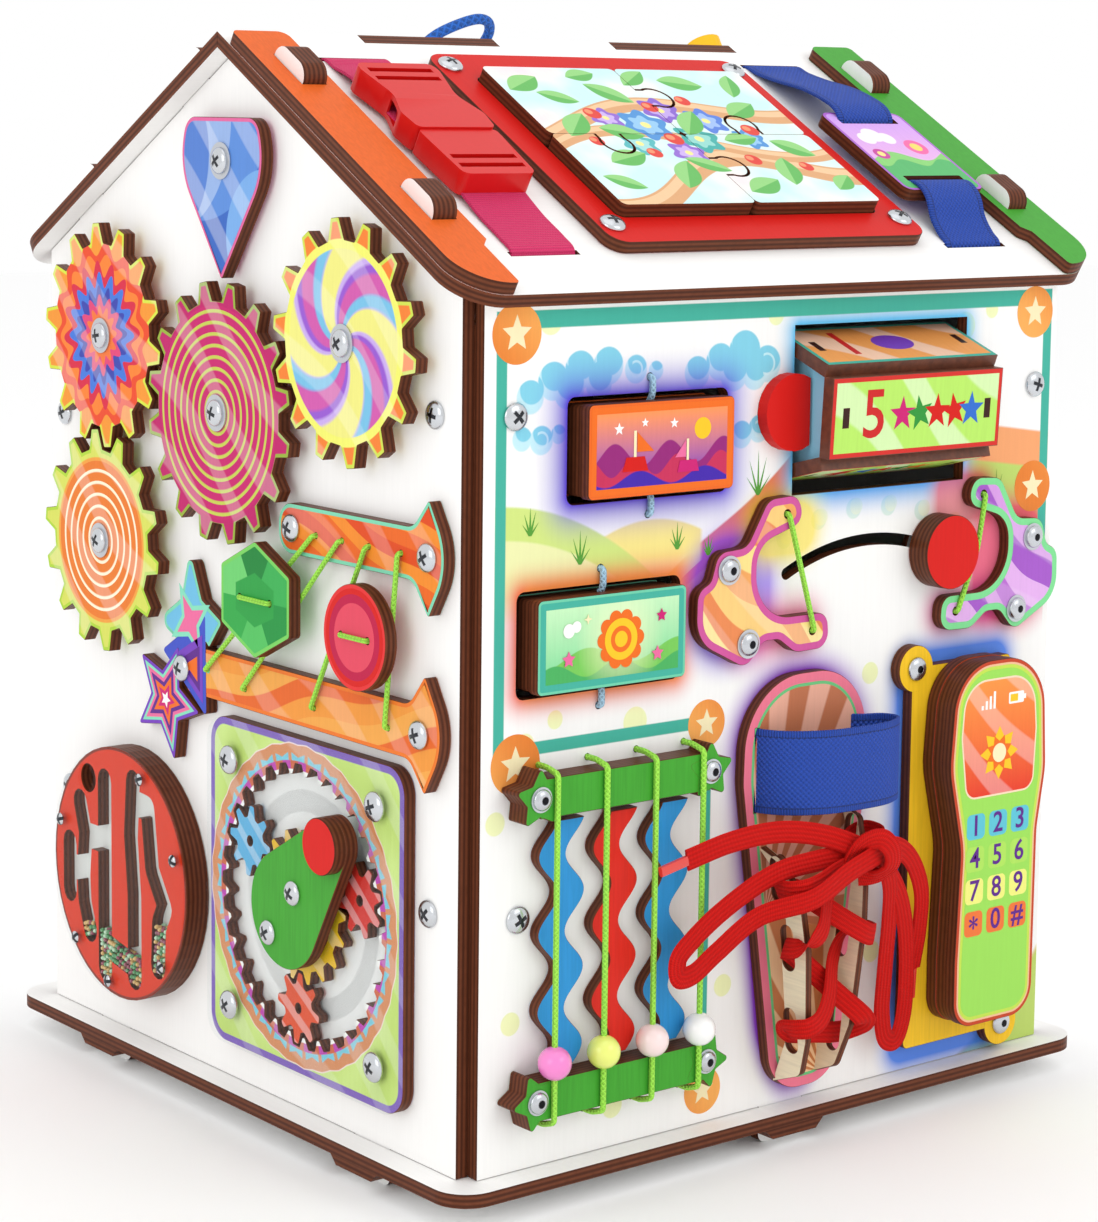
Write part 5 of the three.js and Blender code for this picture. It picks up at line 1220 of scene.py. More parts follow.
# Gearbox: plate with the ring gear, planets, sun with its crank
BOX = (59.9, 94.2)
RING_TEETH, SUN_TEETH, PLANET_TEETH = 33, 17, 8
RING_ROWS = [(63.2, 7.2), (58.3, 1.8)]
SUN_ROWS = [(28.8, 6.8), (34.3, 2.4)]
PLANET_ROWS = [(11.0, 6.2), (16.4, 3.4)]
RING_PHASE = math.radians(-0.5)


def planet_phase(angle):
    return angle - ((angle - RING_PHASE) * RING_TEETH - math.pi) / PLANET_TEETH


FIRST = math.radians(15.5)
SUN_PHASE = FIRST - (math.pi - (FIRST + math.pi - planet_phase(FIRST)) * PLANET_TEETH) / SUN_TEETH
FRAME = (BOX[0] - 73.1, BOX[0] + 76.5, BOX[1] - 75.2, BOX[1] + 74.4)
frame_outline = rounded_box(*FRAME, 12)


def plate_print(look, x, y, z, colour):
    dx, dy = x - BOX[0], y - BOX[1]
    radius = (dx * dx + dy * dy).root()
    turn = dy.angle(dx) / TAU + 2.0
    border = box_distance(x, y, *FRAME, 12)
    face = look.mix((border + 3.4).inside(0.3), PALE_LIME, rgb(132, 100, 190))
    shade = (radius * 0.16 + turn * 30.0).sin() * 0.5 + 0.5
    face = look.mix(shade * (1.0 - (border + 3.4).inside(0.3)) * 0.5, face, rgb(186, 216, 84))
    tooth = ((turn - RING_PHASE / TAU) * RING_TEETH).part()
    middle = (tooth - 0.5).abs()
    marks = look.mix((tooth - 0.5).inside(0.04), rgb(196, 66, 178), rgb(212, 104, 70))
    marks = look.mix((60.6 - radius).inside(0.3), marks, PAPER)
    bracket = (0.4 - middle).inside(0.04) * (middle - 0.1 + (66.4 - radius) * 0.2).inside(0.1)
    ring = look.mix((68.0 - radius).inside(0.2) * bracket, rgb(222, 146, 98), rgb(126, 206, 226))
    edge = 71.6 + (middle - 0.25) * 1.6
    face = look.mix((edge + 0.5 - radius).inside(0.3), face, rgb(250, 226, 222))
    face = look.mix((edge - radius).inside(0.3), face, ring)
    face = look.mix((64.4 - radius).inside(0.3), face, marks)
    # Slanting bands of painted reflection over the gearbox print
    return painted_sheen_bands(look, x, y, face, 0.14)


pocket = toothed(*BOX, RING_TEETH, RING_PHASE, RING_ROWS, 0.5)
toy = Toy("ring_plate", GABLE, "house", ("ring_gear_plate",))
toy.plate(frame_outline, 0.3, 6, board("gearbox_print", LIME, plate_print), [pocket])
toy.build()
toy = Toy("gearbox_pane", GABLE, "house", ("gearbox_window",))
toy.plate(frame_outline, 6.3, 8.3, clear, [circle(*BOX, 25.6, 72)], 0.2)
for sx, sy, turn in ((-53.7, 56.3, 0.3), (58.9, 56.3, 1.2), (-53.7, -56.3, 0.9), (58.9, -56.3, 0.5)):
    screw(toy, BOX[0] + sx, BOX[1] + sy, 8.3, 6.6, 3.4, turn)
toy.build()
dress("planet_carrier", clear_look("carrier_film", (1.0, 1.0, 1.0, 1.0), gloss_share=0.005))

for name, degrees, hue in (("planet_red", 15.5, rgb(222, 52, 44)), ("planet_blue", 152.3, rgb(96, 180, 226)),
                           ("planet_orange", -92.5, rgb(232, 84, 44))):
    angle = math.radians(degrees)
    x, y = BOX[0] + 46 * math.cos(angle), BOX[1] + 46 * math.sin(angle)
    toy = Toy(name + "_wheel", GABLE, name, (name,))
    # Planet faces carry slanting bands of painted reflection
    paint = board(name + "_print", hue, lambda look, x, y, z, colour: painted_sheen_bands(look, x, y, colour, 0.25, 14.0))
    toy.plate(toothed(x, y, PLANET_TEETH, planet_phase(angle), PLANET_ROWS, 1.2), 1.1, 6, paint,
              [circle(x, y, 2.3, 24)])
    toy.build()

CRANK_TIP = (35.2, 36.0)
lean = math.atan2(CRANK_TIP[1], CRANK_TIP[0])
spread = math.acos((26 - 12.4) / math.hypot(*CRANK_TIP))
arm = []
for step in range(41):
    angle = lean + spread + (TAU - 2 * spread) * step / 40
    arm.append((BOX[0] + 26 * math.cos(angle), BOX[1] + 26 * math.sin(angle)))
for step in range(21):
    angle = lean - spread + 2 * spread * step / 20
    arm.append((BOX[0] + CRANK_TIP[0] + 12.4 * math.cos(angle),
                BOX[1] + CRANK_TIP[1] + 12.4 * math.sin(angle)))
crank_green = board("crank_ply", GREEN, grain=0.18)
toy = Toy("crank_and_sun", GABLE, "crank", ("crank_sun_gear",))
# The sun gear's face carries slanting bands of painted reflection
toy.plate(toothed(*BOX, SUN_TEETH, SUN_PHASE, SUN_ROWS, 0.6), 1.1, 6,
          board("sun_print", YELLOW, lambda look, x, y, z, colour: painted_sheen_bands(look, x, y, colour, 0.2, 20.0)))
toy.disc(*BOX, 23, 5, 9, crank_green)
toy.plate(arm, 9, 15, crank_green)
knob = (BOX[0] + CRANK_TIP[0], BOX[1] + CRANK_TIP[1])
toy.disc(*knob, 12.4, 14.8, 21, red_ply, 0.4, 72)
toy.turned(*BOX, [(3, -7.3), (3, 2)], bright, 24)
toy.turned(*BOX, [(8, -9.3), (8, -6.3)], bright, 6)
screw(toy, BOX[0] + 7.3, BOX[1] + 9.1, 15, 5.6, 3.0, 0.5)
screw(toy, BOX[0] - 11.9, BOX[1] - 12.5, 15, 5.6, 3.0, 1.0)
toy.build()

# Flip blocks on their cord
UPPER_FLIP, LOWER_FLIP = (93.7, 301.5), (68.2, 222.6)
sky_cord = braid("sky_cord", rgb(182, 224, 250), shade=0.14)


def flip_block(name, place, edge_hue, border, ground, shapes):
    x, y = place
    toy = Toy(name + "_panel", FRONT, name, (name,))
    outline = rounded_box(x - 40, x + 40, y - 19.75, y + 19.75, 2.5)
    paint = board(name + "_ply", edge_hue)
    toy.plate(outline, -15, -9.3, paint)
    toy.plate(shrunk(outline, 0.7), -9.3, 3.3, paint, bevel=0)
    toy.plate(outline, 3.3, 9, paint)
    toy.inlay(rounded_box(x - 38.6, x + 38.6, y - 18.35, y + 18.35, 1.1), 9, border)
    toy.inlay(rounded_box(x - 35.8, x + 35.8, y - 15.55, y + 15.55), 9.05, ground)
    for index, (kind, colour, data) in enumerate(shapes):
        lift = 9.12 + 0.02 * index
        if kind == "disc":
            cx, cy, radius = data
            toy.inlay(circle(x + cx, y + cy, radius, 48), lift, inks[colour])
        elif kind == "star":
            cx, cy, tips, outer, inner = data
            toy.inlay(star(x + cx, y + cy, tips, outer, inner), lift, inks[colour])
        else:
            toy.inlay([(x + cx, y + cy) for cx, cy in data], lift, inks[colour])
    toy.build()


def dusk(look, x, y, z, colour):
    share = ((y - UPPER_FLIP[1]) / 30 + 0.5).math("ADD", 0.0, clamp=True)
    face = look.mix(share, rgb(96, 46, 190), rgb(250, 150, 90))
    for base, swing, period, hue in ((-2, 5, 30, rgb(150, 40, 120)), (-7, 4, 24, rgb(200, 50, 90)),
                                     (-12, 3, 36, rgb(70, 40, 170))):
        top = (x * (TAU / period)).sin() * swing + base + UPPER_FLIP[1]
        face = look.mix((top - y).inside(0.5), face, hue)
    return face


def meadow(look, x, y, z, colour):
    share = ((y - LOWER_FLIP[1]) / 30 + 0.5).math("ADD", 0.0, clamp=True)
    face = look.mix(share, rgb(120, 214, 150), rgb(196, 240, 190))
    for base, swing, period, hue in ((-6, 4, 50, rgb(120, 200, 90)), (-11, 3, 34, rgb(76, 176, 96))):
        top = (x * (TAU / period) + 1.0).sin() * swing + base + LOWER_FLIP[1]
        face = look.mix((top - y).inside(0.5), face, hue)
    glow = (1.0 - radius_from(x, y, LOWER_FLIP[0] + 4, LOWER_FLIP[1]) / 24.0).math("ADD", 0.0, clamp=True)
    return look.mix(glow * 0.8, face, rgb(250, 250, 200))


flip_block("flip_block_upper", UPPER_FLIP, rgb(236, 106, 36), inks["orange"],
           board("dusk_print", VIOLET, dusk, edges=False),
           [("disc", "yellow", (22, 7, 4.6)), ("star", "paper", (-24, 9, 5, 2.8, 1.2)),
            ("star", "paper", (-10, 11, 5, 2.0, 0.9)), ("star", "paper", (6, 10, 5, 2.4, 1.0)),
            ("form", "red", [(-22, -9), (-8, -9), (-10, -3), (-20, -3)]),
            ("form", "cream", [(-16, -3), (-14.6, -3), (-14.6, 8), (-16, 8)]),
            ("form", "orange", [(-14.2, -1), (-5, -1), (-14.2, 7.4)]),
            ("form", "magenta", [(8, -11), (20, -11), (18.6, -6), (9.4, -6)]),
            ("form", "cream", [(13, -6), (14.2, -6), (14.2, 3), (13, 3)]),
            ("form", "pink", [(12.6, -4.6), (12.6, 2.6), (6.6, -4.6)])])
petals = [("disc", "orange", (4 + 9.4 * math.cos(TAU * step / 10), 9.4 * math.sin(TAU * step / 10), 3.3))
          for step in range(10)]
flip_block("flip_block_lower", LOWER_FLIP, rgb(112, 206, 170), inks["teal"],
           board("meadow_print", MINT, meadow, edges=False),
           petals + [("disc", "yellow", (4, 0, 8.8)), ("disc", "orange", (4, 0, 5.6)),
                     ("disc", "yellow", (4, 0, 3.4)),
                     ("disc", "paper", (-24, 6, 3)), ("disc", "paper", (-20, 7.4, 2.4)),
                     ("star", "pink", (-24, -6, 5, 3.6, 1.8)), ("star", "magenta", (26, 8, 5, 3.0, 1.5)),
                     ("star", "pink", (24, -8, 5, 3.4, 1.7)), ("star", "cream", (-14, 10, 4, 2.2, 0.8))])

flip_route = []
for x, y in (UPPER_FLIP, LOWER_FLIP):
    flip_route += [(x, y + 29, -9.5), (x, y + 29, 1.9), (x, y + 21.9, 1.9), (x, y + 14.55, -3),
                   (x, y - 14.55, -3), (x, y - 21.9, 1.9), (x, y - 29, 1.9), (x, y - 29, -9.5)]
toy = Toy("flip_string", FRONT, "house", ("flip_cord",))
toy.cord(bent(flip_route, 1.8, 4), 1.45, sky_cord)
for x, y, z in (flip_route[0], flip_route[-1]):
    toy.ball(x, y, z - 1.4, 2.8, sky_cord, 16)
toy.build()

# Number drum: its five boards keep their shape, and each gets a printed panel
DRUM = (230.0, 311.7, -7.1)
DRUM_LEAN = math.radians(3.5)
HALF_LONG, HALF_BROAD = 52.7, 17.8
CORE_END = 48.5
APOTHEM = (HALF_BROAD - GAP) / math.tan(math.pi / 5) + PLY

drum_look = Look("drum_boards", 0.45, FRONT)
x, y, z = drum_look.place()
ends = drum_look.vector("DOT_PRODUCT", drum_look.coordinates.outputs["Normal"], (1.0, 0.0, 0.0))
on_end = Field(drum_look, ends.outputs["Value"]).abs().above(0.9)
burnt = drum_look.mix(drum_look.noise(300.0), BURNT, VENEER)
drum_look.paint(drum_look.mix(on_end * (x - DRUM[0]).abs().below(CORE_END), burnt, rgb(146, 212, 240)))
dress("number_drum", drum_look)

drum_sets = [
    ("5", 5, rgb(184, 232, 104), rgb(214, 50, 44), ("magenta", "green", "red", "red", "blue")),
    ("1", 1, rgb(240, 160, 86), TEAL, ("violet",)),
    ("2", 2, CYAN, rgb(214, 50, 44), ("red", "yellow")),
    ("3", 3, rgb(250, 214, 90), TEAL, ("green", "blue", "magenta")),
    ("4", 4, rgb(186, 226, 96), rgb(214, 50, 44), ("blue", "red", "green", "orange")),
]


def panel_outline(inset):
    return rounded_box(inset - HALF_LONG, HALF_LONG - inset, inset - HALF_BROAD, HALF_BROAD - inset)


for number, (digit, count, ground, rim, colours) in enumerate(drum_sets):
    place = (FRONT @ Matrix.Translation((DRUM[0] * MM, DRUM[1] * MM, DRUM[2] * MM))
             @ Matrix.Rotation(DRUM_LEAN - number * TAU / 5, 4, "X"))
    toy = Toy("drum_panel_" + digit, place, "number_drum")
    slots = [rounded_box(way * 44 - 2, way * 44 + 2, -4.5, 4.5) for way in (-1, 1)]
    # Each drum panel's ground carries slanting bands of painted reflection
    ground_look = board("drum_ground_" + digit, ground, lambda look, x, y, z,
                        colour: painted_sheen_bands(look, x, y, colour, 0.35, 44.0),
                        edges=False)
    toy.inlay(panel_outline(0.3), APOTHEM, ink("drum_rim_" + digit, rim), slots)
    toy.inlay(panel_outline(2.3), APOTHEM + 0.05, ground_look, slots)
    for opening in slots:
        toy.inlay(shrunk(opening, 0.2), APOTHEM, inks["dark"])
    toy.text(digit, 30, -27, 0, APOTHEM + 0.1, ink("drum_digit_" + digit, rgb(206, 40, 40)))
    for index in range(count):
        hue, lift = inks[colours[index]], APOTHEM + 0.1 + 0.01 * index
        if digit == "1":
            toy.inlay([(2 + 12 * x, 7 * y) for x, y in circle(0, 0, 1, 48)], lift, hue)
        else:
            toy.inlay(star(-9.6 + 10.8 * index, 0, 5, 8.2, 3.4, math.pi / 2 + 0.2 * (index % 2)), lift, hue)
    toy.build()

# The arc slider's knob
ANGLE = math.radians(68.8)
knob = (ARC_CENTRE[0] + ARC_RADIUS * math.cos(ANGLE), ARC_CENTRE[1] + ARC_RADIUS * math.sin(ANGLE))
toy = Toy("slider_knob", FRONT, "arc_slider", ("arc_slider",))
toy.disc(*knob, 17, 0.3, 6.1, red_ply, 0.3)
toy.disc(*knob, 17, 6.1, 12, red_ply, 0.3)
toy.turned(*knob, [(2.45, -7), (2.45, 1)], bright, 24)
toy.disc(*knob, 12, -9.3, -6.3, white_ply, 0.3, 48)
toy.build()

# Crescents with their strings
CRESCENT = [(116.8, 216.1, 16), (145.8, 201.6, 7), (155.8, 212.6, 6), (164.8, 212.6, 6), (174.8, 205.6, 10),
            (195.3, 206.1, 7), (193.8, 222, 6.5), (150.8, 222, 20), (151.2, 255.1, 13), (178.8, 263.6, 6.2),
            (174.8, 275.6, 7), (157.3, 274.6, 8), (145.3, 254.6, 8), (128.8, 253.6, 7), (124.8, 241.1, 5),
            (117.3, 237.6, 7)]
CRESCENT_HOLES = [(168.4, 267.5), (184.9, 214.5)]
MIRROR = 460.0
for name, colours, rim, flipped, screws, crease in (
        ("left", [rgb(240, 166, 96), rgb(250, 222, 140), rgb(232, 138, 84), rgb(246, 204, 126)],
         rgb(208, 88, 156), False, [(134.8, 245.6), (146.6, 212.4)], []),
        ("right", [rgb(166, 92, 200), rgb(214, 156, 226), rgb(186, 108, 208), rgb(226, 176, 234)],
         rgb(130, 222, 150), True, [(325.3, 245.1), (315.2, 212.1)], [(287.0, 243.0)])):
    outline = rounded(CRESCENT)
    places = list(CRESCENT_HOLES)
    if flipped:
        outline = [(MIRROR - x, y) for x, y in outline][::-1]
        places = [(MIRROR - x, y) for x, y in places]
    toy = Toy("crescent_" + name + "_panel", FRONT, "house", ("crescent_" + name,))
    toy.plate(outline, 0.3, 6, board("crescent_rim_" + name, rim), holes_at(places, 1.9))
    toy.inlay(shrunk(outline, 3.4), 6, board("crescent_print_" + name, colours[0],
              curves(colours, 13.0, 0.9, 5, 60, 0.12), edges=False), holes_at(places, 2.2))
    for index, (x, y) in enumerate(screws):
        toy.turned(x, y, [(6.4, 6), (6.4, 6.7)], bright, 36)
        screw(toy, x, y, 6.6, 5.2, 2.8, 0.6 * index, hex_steel)
    (x0, y0), (x1, y1) = places
    over = [(x, y, 7.3) for x, y in crease]
    string = [(x0, y0, -7.5), (x0, y0, 7.3), *over, (x1, y1, 7.3), (x1, y1, -7.5)]
    toy.cord(bent(string, 1.5, 4), 1.25, lime_cord)
    toy.build()

# Bead rack
RACK = {"left": 28.4, "right": 121.4, "upper": 160.6, "lower": 32.5, "half": 8.3}
for name, y, leans in (("rack_bar_upper", RACK["upper"], (90, 90)),
                       ("rack_bar_lower", RACK["lower"], (40, 68))):
    toy = Toy(name + "_rail", FRONT, "house", (name,))
    toy.plate(rounded_box(RACK["left"], RACK["right"], y - RACK["half"], y + RACK["half"], 0.5), 0.3, 12,
              green_ply)
    for x, degrees in zip((RACK["left"], RACK["right"]), leans):
        toy.plate(star(x, y, 5, 13.6, 7.4, math.radians(degrees), 1.4), 0.31, 12.05, green_ply)
        toy.turned(x, y, [(5.4, 12.05), (5.4, 12.7)], bright, 36)
        screw(toy, x, y, 12.6, 4.6, 2.6, 0.4, hex_steel)
    toy.build()

for name, middle, hue in (("left", 44.6, rgb(52, 150, 216)), ("middle", 73.6, rgb(224, 44, 32)),
                          ("right", 102.0, rgb(52, 150, 216))):
    left, right = [], []
    for step in range(101):
        y = 43.5 + 105.3 * step / 100
        x = middle + 5 * math.sin(TAU * (y - 43.5) / 33)
        left.append((x - 7.2, y))
        right.append((x + 7.2, y))
    toy = Toy("wavy_" + name + "_board", FRONT, "house", ("wavy_strip_" + name,))
    toy.plate(right + left[::-1], 0.3, 6, board("wavy_ply_" + name, hue, grain=0.14))
    toy.build()

CORD_XS = (36, 62.4, 89.2, 115.7)
rack_route = []
for index, x in enumerate(CORD_XS):
    run = [(x, 172.2, -8), (x, 172.2, 6), (x, 170.4, 13.6), (x, 22.7, 13.6), (x, 20.2, 6), (x, 20.2, -8)]
    rack_route += run if index % 2 == 0 else run[::-1]
toy = Toy("rack_string", FRONT, "house", ("rack_cord",))
toy.cord(bent(rack_route, 1.8, 4), 1.3, lime_cord)
for x, y, z in (rack_route[0], rack_route[-1]):
    toy.ball(x, y, z - 1.3, 2.6, lime_cord, 16)
toy.build()

for (name, hue), x in zip((("pink", rgb(246, 132, 206)), ("yellow", rgb(238, 246, 120)),
                           ("blush", rgb(250, 226, 224)), ("white", rgb(252, 252, 250))), CORD_XS):
    toy = Toy("bead_" + name + "_ball", FRONT, "bead_" + name, ("bead_" + name,), smooth=60)
    paint = plain("bead_look_" + name, hue, 0.12, coat=0.7)
    toy.ball(x, 48.3, 13.6, 7.2, paint, 48)
    toy.build()

# Shoe: sole, fins, strap and the tied lace
SOLE = [(166, 7.5, 19), (206, 7.5, 19), (221, 160, 30), (214, 196, 30), (147, 196, 33), (145.5, 150, 30)]
sole = rounded(SOLE)
strap_slots = [rounded_box(x - 1.7, x + 1.7, 136.5, 174.5, 0.5) for x in (153.5, 210)]


def fans(look, x, y, z, colour):
    """Brown and pink stripes that fan out from two points of the sole."""
    low = ((y - 12.0).angle(x - 196.0) * 22.0).sin()
    high = ((y - 92.0).angle(x - 160.0) * 26.0).sin()
    upper = look.mix(high.inside(0.3), rgb(196, 118, 82), rgb(238, 176, 152))
    lower = look.mix(low.inside(0.3), rgb(206, 128, 76), rgb(250, 208, 160))
    return look.mix((y + x * 0.3 - 138.0).inside(1.0), lower, upper)


toy = Toy("shoe_sole_board", FRONT, "house", ("shoe_sole",))
toy.plate(sole, 0.3, 6, board("sole_rim", rgb(238, 122, 146)), strap_slots)
toy.inlay(shrunk(sole, 4.6), 6, ink("ink_sole_green", rgb(110, 200, 130)), strap_slots)
toy.inlay(shrunk(sole, 6.0), 6.05, board("sole_print", rgb(200, 130, 80), fans, edges=False))
toy.build()
fin_look = board("fin_ply", rgb(240, 226, 196), grain=0.16)
for name, foot, head, profile, holes in (
        ("left", (170.2, 12.5), (157.9, 122),
         [(0, 4), (110, 4), (104, 19), (91, 29.5), (66, 31.5), (24, 27.5), (7, 22)],
         [(27.3, 18.2), (66, 19.8), (96.5, 15.7)]),
        ("right", (193.5, 12.2), (208.5, 134),
         [(0, 4), (122.5, 4), (118, 15), (100, 22.5), (72, 25.5), (26, 24.5), (6, 18)],
         [(23, 15.4), (65.3, 14), (108.5, 12)])):
    lean = math.atan2(head[1] - foot[1], head[0] - foot[0])
    place = (FRONT @ Matrix.Translation((foot[0] * MM, foot[1] * MM, 0)) @ Matrix.Rotation(lean, 4, "Z")
             @ Matrix.Rotation(math.pi / 2, 4, "X"))
    outline = rounded([(x, y, 5 if index > 1 else 0) for index, (x, y) in enumerate(profile)])
    ovals = [slot(x - 6.5, y, x + 6.5, y, 4) for x, y in holes]
    toy = Toy("shoe_fin_" + name, place, "house")
    toy.plate(outline, -1.75, 1.75, fin_look, ovals, 0.2)
    toy.build()

STRAP_BLUE = rgb(26, 76, 186)
strap_web = basket("strap_webbing", STRAP_BLUE, 136.8, 174.2)
magenta_web = woven("magenta_webbing", rgb(232, 36, 108), 1.3)
strap_line = [(153.5, -11), (153.5, -2), (153.8, 6), (160.5, 17.1), (175.5, 25.7), (195.5, 28.5), (214, 27.1),
              (225, 20), (223, 12.8), (214, 8.6), (210, 5), (210, -2), (210, -11)]
toy = Toy("shoe_strap_cloth", FRONT, "house", ("shoe_strap",), smooth=50)
toy.band(curve_through(strap_line, 10), 1.6, 136.8, 174.2, strap_web, across="y")
toy.build()

LACE = [(98.7, 127, 23), (124, 131.5, 23.5), (150, 132.4, 25), (172, 128.5, 28.5), (190, 121.5, 32.5),
        (204, 114, 32.5), (214, 102, 28.5), (221, 82, 22), (224.5, 56, 16.5), (227, 34, 13),
        (231.5, 22, 11.5),
        (238, 20, 11), (241.8, 29, 11.5), (240.5, 50, 14.5), (234, 75, 19.5), (223, 95, 25), (210, 108, 28.4),
        (196, 113, 28.6), (178, 112, 32.5), (166, 109, 34.2), (158, 107.5, 34), (153.6, 106.5, 29.5),
        (153.6, 106, 20), (159.6, 106, 15.6), (170, 101, 18), (188, 88, 26), (202, 79.5, 28.5),
        (208, 78, 25.5),
        (209.2, 77.5, 17), (202, 76, 13.6), (192, 69, 17), (180, 54, 27), (171, 46.5, 31.3), (164, 44, 31.3),
        (160.6, 43, 27), (160.8, 41.5, 20), (167.3, 38, 17.4), (180, 35.5, 15.5), (196.5, 32.5, 15),
        (203, 33, 16.5), (204.5, 37, 24), (199.5, 42, 28.8), (190, 52, 23.5), (178, 64, 18.5),
        (162.7, 76.5, 18.5), (157.2, 79, 22), (156.6, 81, 31), (161.5, 84, 35.2), (168, 88, 34.3),
        (181, 99, 23.5), (196, 112, 15), (207.5, 120.5, 11.4), (214, 122, 14), (213.6, 121.5, 24),
        (206, 120, 28.4), (192, 117.4, 28.6), (172, 117.5, 28.4), (148, 114.5, 25.5), (122, 103.5, 23.5),
        (103, 92, 23), (94.8, 84.5, 23), (95.5, 77, 23), (102.5, 76.5, 23), (116, 84, 23.2), (138, 97, 26),
        (160, 104, 37.5), (180, 112.5, 37.5), (198, 117.5, 36.5), (216, 117, 29.5), (232, 108, 24),
        (242.5, 92, 20.5), (246.6, 72, 16), (247.4, 52, 11.5)]
LACE_BREADTH, LACE_THICKNESS = 9.8, 1.3


def flat_section(breadth, thickness):
    half, thin = breadth / 2, thickness / 2
    return [(-half, 0), (-half * 0.94, thin * 0.75), (-half * 0.5, thin), (0, thin), (half * 0.5, thin),
            (half * 0.94, thin * 0.75), (half, 0), (half * 0.94, -thin * 0.75), (half * 0.5, -thin),
            (0, -thin),
            (-half * 0.5, -thin), (-half * 0.94, -thin * 0.75)]


lace_look = ribbon("lace_red", rgb(224, 22, 16))
lace_line = curve_through(LACE, 8)
toy = Toy("tied_lace", FRONT, "house", ("shoe_lace",), smooth=60)
toy.sweep(lace_line, flat_section(LACE_BREADTH, LACE_THICKNESS), lace_look, flat=True)
lace = toy.build()
toy = Toy("lace_knot", FRONT, "house", smooth=60)
knot_line = curve_through([(190, 108, 26), (187, 116, 31), (190, 124, 36), (197, 125.5, 39.5),
                           (203, 120, 40.5),
                           (205, 112, 38.5), (202, 106.5, 32), (197, 106, 26)], 8)
toy.sweep(knot_line, flat_section(9.6, 2.4), lace_look, flat=True)
toy.ball(196.5, 116.5, 31, 7.2, lace_look, 28, 0.8)
knot = toy.build()
aglet_look = plain("aglet", rgb(224, 60, 50), 0.18, coat=0.5)
for index, (start, end) in enumerate((((98.7, 127, 23), (84.5, 124, 22.6)),
                                      ((247.4, 52, 11.5), (247.6, 38, 10.5)))):
    toy = Toy("lace_aglet_" + str(index + 1), FRONT, "house")
    toy.sweep([start, end], flat_section(4.4, 2.4), aglet_look, flat=True)
    toy.build()


def in_row(side, line):
    return [tuple(side @ Vector([value * MM for value in point])) for point in line]


lace_path = in_row(FRONT, lace_line)

# Toy phone on its plate
toy = Toy("phone_board", FRONT, "house", ("phone_plate",))
toy.plate(rounded_box(248, 313, 12, 191, 3), 0.3, 6, yellow_ply)
for x, y in ((250.5, 190.2), (313, 13.4)):
    toy.disc(x, y, 10.8, 0.31, 6.02, yellow_ply, 0.25, 72)
    screw(toy, x, y, 6.0, 5.6, 3.0, 0.7 + x, hex_steel)
toy.build()
PHONE = [(262.3, 23.1, 12), (314.1, 23.1, 14), (314.6, 111.1, 40), (319.4, 139.1, 40), (316.3, 193.5, 26),
         (259.3, 193.5, 24), (255.6, 145.1, 40), (264.3, 107.1, 40), (262, 54.1, 60)]
PHONE_TOP = 4 * PLY
phone = rounded(PHONE)
toy = Toy("phone_body", FRONT, "toy_phone", ("toy_phone",))
phone_ply = board("phone_ply", rgb(196, 70, 40))
for low, high, inset in ((6.3, 12.2, 0.0), (12.2, 18.2, 0.5), (18.2, PHONE_TOP, 0.0)):
    toy.plate(shrunk(phone, inset) if inset else phone, low, high, phone_ply, bevel=0.25)
toy.inlay(shrunk(phone, 1.8), PHONE_TOP, ink("ink_phone_edge", rgb(240, 190, 150)))
toy.inlay(shrunk(phone, 2.8), PHONE_TOP + 0.05, inks["lime"])
toy.inlay(shrunk(phone, 4.4), PHONE_TOP + 0.1, ink("ink_phone_lime", rgb(158, 222, 92)))
SCREEN = [(266.3, 130.1, 7), (310.8, 130.1, 7), (312.3, 159.1, 12), (309.8, 185.1, 16), (264.3, 185.1, 15),
          (262.3, 159.1, 12)]
SCREEN_MIDDLE = (287.3, 150.1)
screen = rounded(SCREEN)


def screen_print(look, x, y, z, colour):
    share = ((y - 130.0) / 55.0).math("ADD", 0.0, clamp=True)
    face = look.mix(share, rgb(228, 60, 40), rgb(250, 150, 70))
    # The screen's gradient carries slanting bands of painted reflection
    return painted_sheen_bands(look, x, y, face, 0.2, 30.0, 0.9)


toy.inlay(screen, PHONE_TOP + 0.15, ink("ink_screen_rim", rgb(250, 220, 190)))
toy.inlay(shrunk(screen, 0.9), PHONE_TOP + 0.2, board("screen_print", RED, screen_print, edges=False))
for index in range(4):
    left = 274.8 + 2.6 * index
    toy.inlay(rounded_box(left, left + 1.4, 171.1, 173.1 + 2.0 * index), PHONE_TOP + 0.25, inks["paper"])
toy.inlay(rounded_box(292.8, 302.8, 172.1, 177.5, 0.8), PHONE_TOP + 0.25, inks["paper"])
toy.inlay(rounded_box(302.8, 304.2, 173.7, 175.9), PHONE_TOP + 0.25, inks["paper"])
toy.inlay(rounded_box(293.8, 298.8, 173.1, 176.5), PHONE_TOP + 0.32, inks["yellow"])
toy.inlay(star(*SCREEN_MIDDLE, 8, 12.5, 8.0), PHONE_TOP + 0.25, inks["yellow"])
toy.inlay(star(*SCREEN_MIDDLE, 8, 8.6, 5.4, math.pi / 2 + math.pi / 8), PHONE_TOP + 0.32, inks["orange"])
toy.inlay(circle(*SCREEN_MIDDLE, 4.4), PHONE_TOP + 0.4, inks["cream"])
key_rows = [("123", rgb(96, 196, 214)), ("456", rgb(176, 226, 96)), ("789", rgb(240, 240, 130)),
            ("*0#", rgb(238, 120, 60))]
